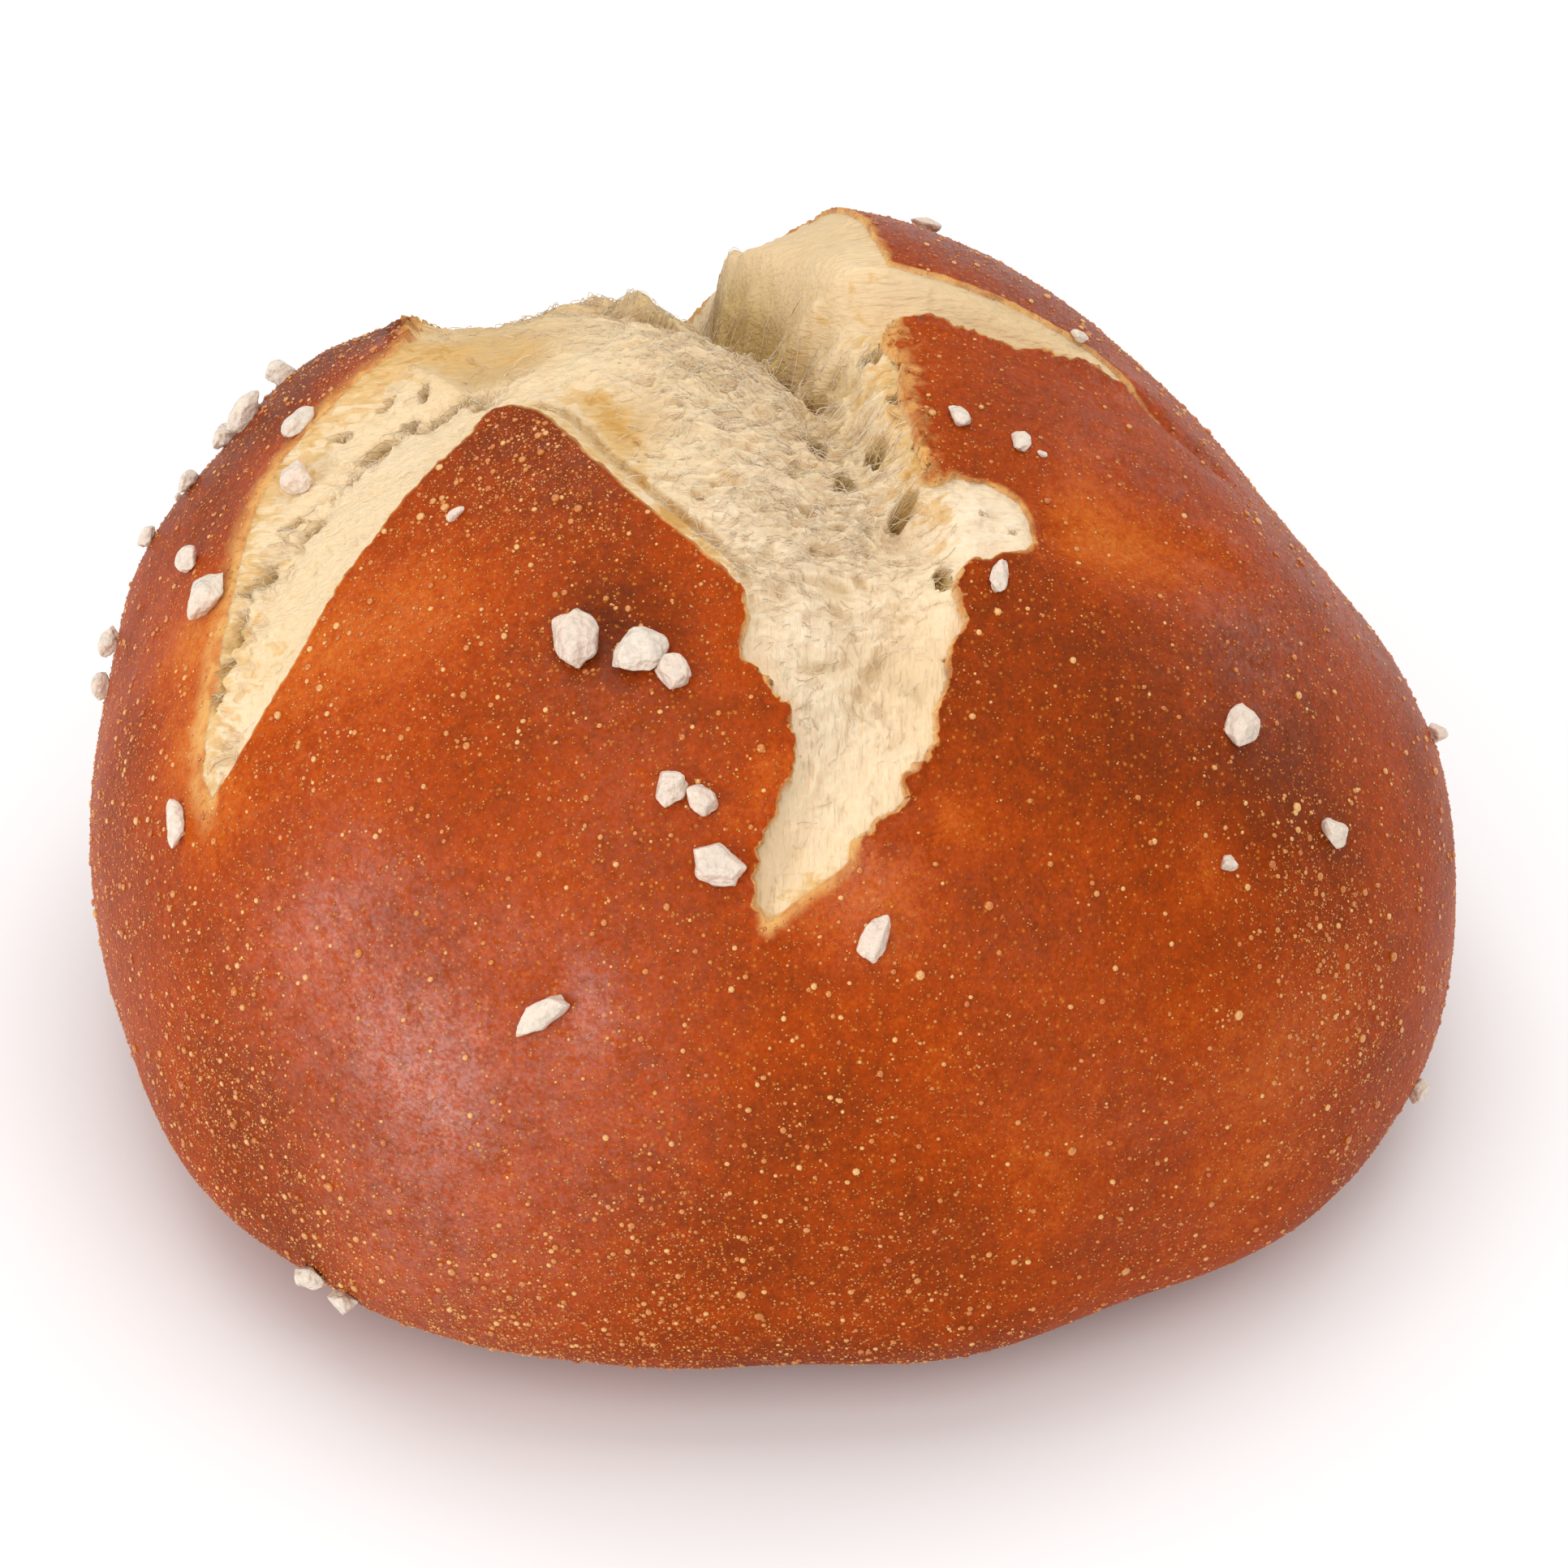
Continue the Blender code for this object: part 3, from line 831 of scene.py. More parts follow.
def settle_on_outline(mesh: bmesh.types.BMesh, roll: Roll, places: Array) -> Array:
    """Move vertices onto the opening's ragged outline until no edge crosses it.

    Args:
        mesh: The mesh, whose edges are read.
        roll: The roll whose opening it is.
        places: The places of its vertices.

    Returns:
        The new places.
    """
    mesh.verts.index_update()
    ends = np.array([[vertex.index for vertex in edge.verts] for edge in mesh.edges])
    inside, _ = roll.opening.look_up(places)
    crossing = ends[inside[ends[:, 0]] * inside[ends[:, 1]] < 0]
    near_first = np.abs(inside[crossing[:, 0]]) < np.abs(inside[crossing[:, 1]])
    moved = np.where(near_first, crossing[:, 0], crossing[:, 1])
    held = np.where(near_first, crossing[:, 1], crossing[:, 0])
    low, high = places[moved], places[held]
    for _ in range(9):
        middle = (low + high) / 2
        same_side = (roll.opening.look_up(middle)[0] * inside[moved] > 0)[:, None]
        low, high = np.where(same_side, middle, low), np.where(same_side, high, middle)
    settled = places.copy()
    settled[moved] = (low + high) / 2
    return settled


def finish_object(name: str, data: bpy.types.Mesh, material: bpy.types.Material) -> bpy.types.Object:
    """Make a finished mesh a smooth piece of the roll.

    Args:
        name: Name of the piece.
        data: Its mesh, in metres.
        material: Its material.

    Returns:
        The new object, which rides on the roll's body.
    """
    data.materials.append(material)
    data.polygons.foreach_set("use_smooth", np.ones(len(data.polygons), bool))
    data.update()
    piece = bpy.data.objects.new(name, data)
    bpy.context.scene.collection.objects.link(piece)
    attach(piece, BODY)
    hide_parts(NODE)
    return piece


def add_number(data: bpy.types.Mesh, name: str, values: Array) -> None:
    """Store one number for each vertex under a name that a material reads."""
    layer = data.attributes.new(name, "FLOAT", "POINT")
    layer.data.foreach_set("value", values.astype(np.float32))


def mesh_from_triangles(name: str, points: Array, triangles: Array) -> bpy.types.Mesh:
    """Make a mesh of points in millimetres and triangles between them."""
    data = bpy.data.meshes.new(name)
    data.vertices.add(len(points))
    data.vertices.foreach_set("co", (points * MM).astype(np.float32).ravel())
    data.loops.add(triangles.size)
    data.loops.foreach_set("vertex_index", triangles.astype(np.int32).ravel())
    data.polygons.add(len(triangles))
    data.polygons.foreach_set("loop_start", np.arange(0, triangles.size, 3, dtype=np.int32))
    data.update(calc_edges=True)
    data.validate()
    return data


def mesh_from_bmesh(name: str, mesh: bmesh.types.BMesh) -> bpy.types.Mesh:
    """Make a closed bmesh in millimetres a mesh in metres whose faces point outward."""
    bmesh.ops.recalc_face_normals(mesh, faces=mesh.faces)
    bmesh.ops.scale(mesh, vec=(MM, MM, MM), verts=mesh.verts)
    data = bpy.data.meshes.new(name)
    mesh.to_mesh(data)
    mesh.free()
    return data


def data_points(data: bpy.types.Mesh) -> Array:
    """Vertices of a finished mesh, in millimetres."""
    points = np.empty(len(data.vertices) * 3, np.float32)
    data.vertices.foreach_get("co", points)
    return points.reshape(-1, 3).astype(float) / MM


def template(mesh: bmesh.types.BMesh) -> tuple[Array, Array]:
    """Points and triangles of a small shape, which is then freed."""
    bmesh.ops.triangulate(mesh, faces=mesh.faces)
    bmesh.ops.recalc_face_normals(mesh, faces=mesh.faces)
    mesh.verts.index_update()
    points = vertex_points(mesh)
    triangles = np.array([[vertex.index for vertex in face.verts] for face in mesh.faces])
    mesh.free()
    return points, triangles


# ---------------------------------------------------------------------------
# Materials
# ---------------------------------------------------------------------------


class Value:
    """A number socket that Python arithmetic turns into Math nodes."""

    def __init__(self, graph: "Graph", socket: bpy.types.NodeSocket) -> None:
        """Wrap a socket of a graph's node."""
        self.graph = graph
        self.socket = socket

    def step(self, operation: str, *terms: "Value | float") -> "Value":
        """Add one Math node.

        Args:
            operation: The node's operation.
            *terms: What it works on, in order.

        Returns:
            Its result.
        """
        node = self.graph.node("ShaderNodeMath", {"operation": operation}, dict(enumerate(terms)))
        return Value(self.graph, node.outputs[0])

    def __add__(self, other: "Value | float") -> "Value":
        """The sum."""
        return self.step("ADD", self, other)

    def __radd__(self, other: float) -> "Value":
        """The sum."""
        return self.step("ADD", other, self)

    def __sub__(self, other: "Value | float") -> "Value":
        """The difference."""
        return self.step("SUBTRACT", self, other)

    def __rsub__(self, other: float) -> "Value":
        """The difference."""
        return self.step("SUBTRACT", other, self)

    def __mul__(self, other: "Value | float") -> "Value":
        """The product."""
        return self.step("MULTIPLY", self, other)

    def __rmul__(self, other: float) -> "Value":
        """The product."""
        return self.step("MULTIPLY", other, self)

    def __gt__(self, other: "Value | float") -> "Value":
        """1 where this is the greater, else 0."""
        return self.step("GREATER_THAN", self, other)

    def ramp(self, low: float, high: float) -> "Value":
        """A smooth ramp from 0 at one value to 1 at another."""
        settings = {"interpolation_type": "SMOOTHSTEP", "clamp": True}
        inputs = {"Value": self, "From Min": low, "From Max": high}
        return Value(self.graph, self.graph.node("ShaderNodeMapRange", settings, inputs).outputs[0])


class Graph:
    """The node tree of one material, built by expressions."""

    def __init__(self, name: str) -> None:
        """Start a material of this name with an empty tree."""
        self.material = bpy.data.materials.new(name)
        self.material.use_nodes = True
        self.tree = self.material.node_tree
        self.tree.nodes.clear()

    def node(
        self, kind: str, settings: dict[str, object] | None = None, inputs: dict | None = None
    ) -> bpy.types.Node:
        """Add a node.

        Args:
            kind: The node's type.
            settings: Its own settings, set first. stops fills a colour ramp.
            inputs: What its sockets hold: numbers, colours, sockets or Values.

        Returns:
            The new node.
        """
        node = self.tree.nodes.new(kind)
        for name, value in (settings or {}).items():
            if name == "stops":
                self.set_stops(node.color_ramp, value)
            else:
                setattr(node, name, value)
        for name, value in (inputs or {}).items():
            source = value.socket if isinstance(value, Value) else value
            if isinstance(source, bpy.types.NodeSocket):
                self.tree.links.new(source, node.inputs[name])
            else:
                node.inputs[name].default_value = source
        return node

    def set_stops(self, ramp: bpy.types.ColorRamp, stops: tuple[tuple[float, Colour], ...]) -> None:
        """Give a colour ramp its stops, each a position and a colour."""
        while len(ramp.elements) < len(stops):
            ramp.elements.new(1.0)
        for element, (position, colour) in zip(ramp.elements, stops):
            element.position = position
            element.color = (*colour, 1.0)

    def value(self, node: bpy.types.Node, output: str = "Fac") -> Value:
        """A node's output as a Value."""
        return Value(self, node.outputs[output])

    def attribute(self, name: str) -> Value:
        """A number stored for each vertex."""
        return self.value(self.node("ShaderNodeAttribute", {"attribute_name": name}))

    def millimetres(self) -> bpy.types.NodeSocket:
        """Object coordinates in millimetres."""
        place = self.node("ShaderNodeTexCoord").outputs["Object"]
        inputs = {0: place, "Scale": 1.0 / MM}
        return self.node("ShaderNodeVectorMath", {"operation": "SCALE"}, inputs).outputs[0]

    def stretched(
        self, place: bpy.types.NodeSocket, scale: tuple[float, float, float]
    ) -> bpy.types.NodeSocket:
        """A place scaled along each axis, so that a pattern on it stretches."""
        node = self.node("ShaderNodeMapping", {}, {"Vector": place, "Scale": scale})
        return node.outputs["Vector"]

    def noise(
        self, place: bpy.types.NodeSocket, size: float, detail: float = 2.0, distortion: float = 0.0
    ) -> Value:
        """Noise from 0 to 1 with features of a size in millimetres."""
        inputs = {"Vector": place, "Scale": 1.0 / size, "Detail": detail, "Distortion": distortion}
        return self.value(self.node("ShaderNodeTexNoise", {}, inputs))

    def cells(self, place: bpy.types.NodeSocket, size: float) -> bpy.types.Node:
        """A cell pattern with cells of a size in millimetres."""
        return self.node("ShaderNodeTexVoronoi", {}, {"Vector": place, "Scale": 1.0 / size})

    def first_of(self, colour: bpy.types.NodeSocket) -> Value:
        """The red part of a colour."""
        return self.value(self.node("ShaderNodeSeparateColor", {}, {"Color": colour}), "Red")

    def mix(
        self,
        factor: Value | float,
        first: Colour | bpy.types.NodeSocket,
        second: Colour | bpy.types.NodeSocket,
    ) -> bpy.types.NodeSocket:
        """Mix two colours.

        Args:
            factor: Share of the second.
            first: The colour at factor 0.
            second: The colour at factor 1.

        Returns:
            The mixed colour.
        """
        ends = [(*end, 1.0) if isinstance(end, tuple) else end for end in (first, second)]
        settings = {"data_type": "RGBA", "clamp_factor": True}
        node = self.node("ShaderNodeMix", settings, {0: factor, 6: ends[0], 7: ends[1]})
        return node.outputs[2]

    def bump(
        self, height: Value, distance: float, normal: bpy.types.NodeSocket | None = None
    ) -> bpy.types.NodeSocket:
        """A normal tilted by a height field.

        Args:
            height: The height, where 1 is the full distance.
            distance: The full height in millimetres.
            normal: The normal to start from, if not the mesh's own.

        Returns:
            The tilted normal.
        """
        inputs = {"Height": height, "Distance": distance * MM, "Strength": 1.0}
        if normal is not None:
            inputs["Normal"] = normal
        return self.node("ShaderNodeBump", {}, inputs).outputs["Normal"]

    def finish(self, inputs: dict[str, object]) -> bpy.types.Material:
        """Close the tree with a Principled shader and return the material."""
        shader = self.node("ShaderNodeBsdfPrincipled", {}, inputs)
        self.node("ShaderNodeOutputMaterial", {}, {"Surface": shader.outputs[0]})
        return self.material


@dataclass(frozen=True)
class CrustFinish:
    """Lye-baked crust: thin and leathery, brown over orange, glazed in places, gold at the cut.

    Attributes:
        tones: How the crust browns, each a degree of browning and a colour.
        gold: Colour of the thin rim at the torn edge.
        cream: Colour of the dough that the edge's wall shows.
        speck: Colour of the dots of trapped steam.
        underside: Colour of the floury base.
        roughness: Roughness of the bare crust.
        shine: Strength of its plain reflection.
        glaze_roughness: Roughness of the glaze on it.
        glaze_index: Index of refraction of the glaze.
        mottle_size: Size of the broad mottling, in millimetres like all sizes here.
        grain_size: Size of the finer mottling.
        leather_size: Size of the leathery grain.
        wrinkle_size: Size of the wrinkles.
        glint_size: Size of the facets that catch the light.
        dot_sizes: Distances between the dots, coarse and fine.
    """

    tones: tuple[tuple[float, Colour], ...] = (
        (0.0, (0.66, 0.19, 0.026)),
        (0.25, (0.52, 0.094, 0.007)),
        (0.45, (0.385, 0.050, 0.002)),
        (0.68, (0.235, 0.034, 0.003)),
        (1.0, (0.095, 0.021, 0.007)),
    )
    gold: Colour = (0.72, 0.37, 0.115)
    cream: Colour = (0.78, 0.55, 0.29)
    speck: Colour = (0.62, 0.19, 0.022)
    underside: Colour = (0.30, 0.115, 0.035)
    roughness: float = 0.42
    shine: float = 0.04
    glaze_roughness: float = 0.34
    glaze_index: float = 1.75
    mottle_size: float = 9.0
    grain_size: float = 1.1
    leather_size: float = 0.3
    wrinkle_size: float = 1.3
    glint_size: float = 0.32
    dot_sizes: tuple[float, float] = (0.62, 0.36)

    def build(self) -> bpy.types.Material:
        """Build the material, which reads bake, rim, ragged, wall, under and glaze."""
        graph = Graph("baked_crust")
        place = graph.millimetres()
        mottle = graph.noise(place, self.mottle_size, 3.0)
        grain = graph.noise(place, self.grain_size, 4.0)
        leather = graph.noise(place, self.leather_size, 3.0, 0.2)
        tone = graph.attribute("bake") + (mottle - 0.5) * 0.26 + (grain - 0.5) * 0.42
        tone = tone + (leather - 0.5) * 0.45
        ramp = graph.node("ShaderNodeValToRGB", {"stops": self.tones}, {"Fac": tone})

        coarse, fine = self.dot_sizes
        dots = self.dots(graph, place, coarse, 0.38) + self.dots(graph, place, fine, 0.45) * 0.8
        colour = graph.mix(dots * 0.6, ramp.outputs["Color"], self.speck)

        crumbly = (graph.noise(place, 0.9, 4.0) - 0.5) * (graph.attribute("ragged") * 3.0 + 0.5)
        bare = 1.0 - (graph.attribute("rim") + crumbly).ramp(0.0, 1.0)
        bare = bare * (graph.noise(place, 1.8, 3.0).ramp(0.36, 0.60) * 0.6 + 0.4)
        colour = graph.mix(bare, colour, self.gold)
        colour = graph.mix(graph.attribute("wall"), colour, self.cream)
        colour = graph.mix(graph.attribute("under"), colour, self.underside)

        wrinkles = graph.noise(
            graph.stretched(place, (1.0, 0.7, 1.0)), self.wrinkle_size, 4.0, 0.4
        )
        normal = graph.bump(wrinkles, 0.18)
        normal = graph.bump(leather + dots * 0.4, 0.15, normal)
        glints = graph.noise(
            graph.stretched(place, (1.0, 0.55, 1.3)), self.glint_size, 3.0, 0.6
        )
        sheen = glints.ramp(0.34, 0.74) * 0.9 + wrinkles.ramp(0.3, 0.7) * 0.4 + 0.12
        return graph.finish(
            {
                "Base Color": colour,
                "Roughness": self.roughness + (mottle - 0.5) * 0.12 + bare * 0.25,
                "Normal": normal,
                "Specular IOR Level": self.shine,
                "Coat Weight": graph.attribute("glaze") * sheen * (1.0 - bare * 0.6),
                "Coat Roughness": self.glaze_roughness,
                "Coat IOR": self.glaze_index,
            }
        )

    def dots(
        self, graph: Graph, place: bpy.types.NodeSocket, size: float, least: float
    ) -> Value:
        """Round dots of trapped steam, closer together in some places.

        Args:
            graph: The material's graph.
            place: Object coordinates in millimetres.
            size: Size of the cells that each may hold a dot.
            least: How rare they are, from 0 to 1.

        Returns:
            1 in the middle of a dot, 0 away from it.
        """
        cells = graph.cells(place, size)
        crowd = graph.noise(place, 7.0, 2.0)
        there = graph.first_of(cells.outputs["Color"]) + (crowd - 0.5) * 0.6 > least
        return (1.0 - graph.value(cells, "Distance").ramp(0.12, 0.30)) * there


@dataclass(frozen=True)
class CrumbFinish:
    """Soft torn crumb: cream, golden where it baked and faintly lit from within.

    Attributes:
        cream: Its main colour.
        white: Colour of its palest places, also laid as painted light on its raised relief.
        gold: Colour where it baked a little.
        amber: Colour where it baked most.
        tan: Colour of its drier places, also laid as painted shade in the hollows of its relief.
        deep: Painted shade: the darker, warmer colour laid in its holes and valleys.
        fleck: Colour of the few dark flecks.
        roughness: Its roughness.
        shine: Strength of its plain reflection.
        lit_through: Share of the light that passes through it.
        light_reach: How far that light reaches, in millimetres like all sizes here.
        light_colour: How far each colour of it reaches, as a share.
        patch_size: Size of its paler patches.
        grain_size: Size of its finest mottling.
        streak_size: Size of the golden streaks.
        fibre_size: Width of its fibres.
        fleck_distance: Distance between the flecks.
    """

    cream: Colour = (0.80, 0.61, 0.375)
    white: Colour = (0.86, 0.70, 0.50)
    gold: Colour = (0.68, 0.415, 0.15)
    amber: Colour = (0.56, 0.29, 0.065)
    tan: Colour = (0.64, 0.42, 0.19)
    deep: Colour = (0.49, 0.315, 0.095)
    fleck: Colour = (0.50, 0.22, 0.07)
    roughness: float = 0.8
    shine: float = 0.2
    lit_through: float = 0.25
    light_reach: float = 1.2
    light_colour: Colour = (1.0, 0.65, 0.35)
    patch_size: float = 2.4
    grain_size: float = 0.35
    streak_size: float = 1.2
    fibre_size: float = 0.34
    fleck_distance: float = 2.3

    def build(self) -> bpy.types.Material:
        """Build the material, which reads gold, pale, tan, deep and along."""
        graph = Graph("torn_crumb")
        place = graph.millimetres()
        soft = graph.noise(place, self.patch_size, 4.0)
        fine = graph.noise(place, self.grain_size, 3.0)
        # The pale and tan attributes hold painted light on raised relief and painted shade in its
        # hollows, besides the crumb's own pale and drier places.
        colour = graph.mix(graph.attribute("pale") + (soft - 0.5) * 0.8, self.cream, self.white)
        colour = graph.mix(graph.attribute("tan") + (soft - 0.5) * 0.3, colour, self.tan)
        # Painted shade: holes and valleys are darkened towards the deep colour.
        colour = graph.mix(graph.attribute("deep"), colour, self.deep)
        streaks = graph.noise(
            graph.stretched(place, (0.6, 1.0, 1.0)), self.streak_size, 4.0, 1.2
        )
        gold = graph.attribute("gold") + (streaks - 0.5) * 1.7
        colour = graph.mix(gold.ramp(0.25, 0.60) * 0.75, colour, self.gold)
        colour = graph.mix(gold.ramp(0.62, 1.0) * 0.8, colour, self.amber)
        colour = graph.mix((fine - 0.5) * 0.6, colour, self.tan)
        cells = graph.cells(place, self.fleck_distance)
        there = graph.first_of(cells.outputs["Color"]) > 0.8
        flecks = (1.0 - graph.value(cells, "Distance").ramp(0.02, 0.07)) * there
        colour = graph.mix(flecks * 0.7, colour, self.fleck)
        along = graph.attribute("along")
        across_fibres, along_fibres = (
            graph.noise(graph.stretched(place, scale), self.fibre_size, 3.0, 0.4)
            for scale in ((0.16, 1.0, 1.0), (1.0, 0.2, 0.2))
        )
        fibres = across_fibres * (1.0 - along) + along_fibres * along
        normal = graph.bump(fibres + soft * 0.4, 0.3)
        return graph.finish(
            {
                "Base Color": colour,
                "Roughness": self.roughness,
                "Normal": normal,
                "Specular IOR Level": self.shine,
                "Subsurface Weight": self.lit_through,
                "Subsurface Radius": self.light_colour,
                "Subsurface Scale": self.light_reach * MM,
            }
        )


@dataclass(frozen=True)
class BlisterFinish:
    """Thin golden blisters on the crust, glossier than the crust round them.

    Attributes:
        dark: Colour of the blisters that show least.
        gold: Colour of most of them.
        pale: Colour of the palest.
        roughness: Roughness of their skin.
        shine: Strength of its plain reflection.
        gloss: Strength of the glaze on it.
        gloss_roughness: Roughness of that glaze.
    """

    dark: Colour = (0.43, 0.078, 0.005)
    gold: Colour = (0.56, 0.168, 0.018)
    pale: Colour = (0.74, 0.39, 0.12)
    roughness: float = 0.22
    shine: float = 0.5
    gloss: float = 0.5
    gloss_roughness: float = 0.1

    def build(self) -> bpy.types.Material:
        """Build the material, which reads the attribute pale."""
        graph = Graph("crust_blister")
        pale = graph.attribute("pale")
        colour = graph.mix(pale.ramp(0.0, 0.5), self.dark, self.gold)
        colour = graph.mix(pale.ramp(0.5, 1.0), colour, self.pale)
        return graph.finish(
            {
                "Base Color": colour,
                "Roughness": self.roughness,
                "Specular IOR Level": self.shine,
                "Coat Weight": self.gloss,
                "Coat Roughness": self.gloss_roughness,
            }
        )


@dataclass(frozen=True)
class SaltFinish:
    """Coarse white salt, a little pink and clouded inside.

    Attributes:
        white: Its main colour.
        pink: Colour of the grains that are tinted most.
        grey: Colour of its clouds.
        roughness: Mean roughness of its faces.
        shine: Strength of its plain reflection.
        cloud_size: Size of its clouds, in millimetres like all sizes here.
        pit_sizes: Sizes of the unevenness and of the chips on its faces.
        lit_through: Share of the light that passes through it.
        light_reach: How far that light reaches.
        light_colour: How far each colour of it reaches, as a share.
    """

    white: Colour = (0.78, 0.67, 0.55)
    pink: Colour = (0.78, 0.575, 0.455)
    grey: Colour = (0.63, 0.545, 0.46)
    roughness: float = 0.42
    shine: float = 0.5
    cloud_size: float = 0.9
    pit_sizes: tuple[float, float] = (0.35, 0.5)
    lit_through: float = 0.35
    light_reach: float = 1.0
    light_colour: Colour = (1.0, 0.8, 0.7)

    def build(self) -> bpy.types.Material:
        """Build the material, which reads the attribute tint."""
        graph = Graph("coarse_salt")
        place = graph.millimetres()
        cloud = graph.noise(place, self.cloud_size, 4.0)
        colour = graph.mix(graph.attribute("tint"), self.white, self.pink)
        colour = graph.mix(cloud.ramp(0.4, 0.75) * 0.7, colour, self.grey)
        fine, coarse = self.pit_sizes
        chips = graph.value(graph.cells(place, coarse), "Distance")
        normal = graph.bump(graph.noise(place, fine, 4.0) + chips, 0.2)
        return graph.finish(
            {
                "Base Color": colour,
                "Roughness": self.roughness + (cloud - 0.5) * 0.3,
                "Normal": normal,
                "Subsurface Weight": self.lit_through,
                "Subsurface Radius": self.light_colour,
                "Subsurface Scale": self.light_reach * MM,
                "Specular IOR Level": self.shine,
            }
        )


@dataclass(frozen=True)
class FloorFinish:
    """A plain pale floor."""

    colour: Colour = (0.93, 0.93, 0.93)

    def build(self) -> bpy.types.Material:
        """Build the material."""
        graph = Graph("pale_floor")
        inputs = {"Base Color": (*self.colour, 1.0), "Roughness": 0.9, "Specular IOR Level": 0.1}
        return graph.finish(inputs)


# ---------------------------------------------------------------------------
# Pieces
# ---------------------------------------------------------------------------


@dataclass
class Crust:
    """The browned crust over the whole roll, with its torn edge and its flat base.

    Attributes:
        roll: The roll it covers.
        steps: How often the ball that it starts from is divided.
        edge_margin: How far from the torn edge its mesh is finer.
        under_height: Height below which it is the floury underside.
        base_tone: How far it browned away from the places named below.
        browned: Darker and lighter places, each (right, back, spread, amount); partly the
        crust's own browning, partly painted shade that darkens its lower band.
        base_glaze: How glossy it is away from the places named below.
        glazed: Glossier and duller places, each (right, back, spread, amount).
    """

    roll: Roll
    steps: int = 7
    edge_margin: float = 1.4
    under_height: float = 1.2
    base_tone: float = 0.50
    base_glaze: float = 0.02
    glazed: Rows = (
        (-30.5, -61, 12.5, 0.90), (-36, -41, 10, 0.55), (-14, -56, 9, 0.60), (-12, -36, 8, 0.25),
        (47, -2, 14, 0.33), (24, 0, 10, 0.38), (36, -22, 8, 0.34), (48, -46, 8, 0.10),
        (-44, 20, 12, 0.15), (14, 18, 10, 0.42), (6, -44, 5, 0.35), (-16, -10, 8, 0.15),
        (-28, -24, 8, 0.27), (0, 66, 26, 0.25), (22, -50, 8, 0.15), (36, -58, 9, 0.12),
    )
    browned: Rows = (
        (-17, -8.5, 6.5, 0.22), (-11.5, -15, 6, 0.10), (-11.5, -26, 4.5, 0.42), (-33, 24, 9, 0.30),
        (-38, 12, 4, 0.22), (-46, 18, 8, 0.24), (-48, 6, 5, 0.10), (18, 20, 12, 0.13),
        (24, 10, 6, 0.10), (34, -27, 10, 0.20), (20, -26, 7, 0.16), (18, -38, 7, 0.10),
        (44, -28, 8, 0.14), (46, -6, 12, 0.10), (-45, -21, 5, -0.26), (-45.5, -11, 4.5, -0.40),
        (-43, -29, 4, -0.20), (-34, -20.5, 5, -0.24), (-27, -23, 6, -0.20), (0.5, -37.5, 2.5, -0.20),
        (0.5, -48, 4, -0.04), (5, -53, 6, 0.05), (13.5, -39.5, 1.8, -0.20), (16.6, -39.2, 1.6, -0.10),
        (1.5, -57, 6, -0.04), (22, -76, 9, 0.10), (8, -46, 5, -0.20), (34.5, -37, 3.5, -0.24),
        (25, -15, 5, -0.26), (33, -12, 5, -0.12), (-12.5, -57.5, 6, -0.06), (-4, -63, 10, 0.10),
        (-2, -80, 13, 0.16), (-50, -54, 10, 0.18), (-11.5, -44.7, 6, 0.06), (44, -55, 8, -0.14),
        (45, -43, 6, -0.14), (26, -59, 8, -0.07), (-59, -14, 8, 0.08), (0, 70, 22, 0.06),
        (-45, 55, 14, -0.12), (50, 50, 16, 0.04),
    )

    def build(self) -> bpy.types.Mesh:
        """Build the crust's mesh, with its torn edge and its flat base."""
        form = self.roll.form
        mesh = bmesh.new()
        bmesh.ops.create_icosphere(mesh, subdivisions=self.steps, radius=1.0)
        for margin in (self.edge_margin + 0.6, self.edge_margin):
            inside, _ = self.roll.opening.look_up(ball_places(mesh, form))
            cut_finer(mesh, np.abs(inside) < margin, 1)
        places = settle_on_outline(mesh, self.roll, ball_places(mesh, form))
        move_vertices(mesh, form.points(places, self.roll.crust_radius(places)))
        everything = mesh.verts[:] + mesh.edges[:] + mesh.faces[:]
        bmesh.ops.bisect_plane(
            mesh, geom=everything, plane_co=(0, 0, 0), plane_no=(0, 0, -1), clear_outer=True
        )
        rim = [edge for edge in mesh.edges if edge.is_boundary]
        base = bmesh.ops.contextual_create(mesh, geom=rim)["faces"]
        bmesh.ops.triangulate(mesh, faces=base)
        return mesh_from_bmesh("crust", mesh)

    def dress(self, data: bpy.types.Mesh) -> bpy.types.Object:
        """Store what the finish reads, and make the mesh a piece.

        Args:
            data: The crust's mesh.

        Returns:
            The finished piece.
        """
        points = data_points(data)
        places = self.roll.form.places_of(points)
        inside, finish = self.roll.opening.look_up(places)
        streaks = noise(points, (9.0, 9.0, 5.0), 12) * 0.10
        under = 1.0 - smooth_step((points[:, 2] - 0.3) / self.under_height)
        # The bake holds the crust's own browning and painted shade on its lower band.
        add_number(data, "bake", self.base_tone + bumps(places, self.browned) + streaks)
        add_number(data, "rim", np.clip(-inside / finish[:, 1], 0.0, 2.0))
        add_number(data, "ragged", finish[:, 0])
        add_number(data, "wall", smooth_step((inside + 0.02) / 0.25))
        add_number(data, "under", under)
        add_number(data, "glaze", np.clip(self.base_glaze + bumps(places, self.glazed), 0.0, 1.0))
        return finish_object("crust", data, CrustFinish().build())


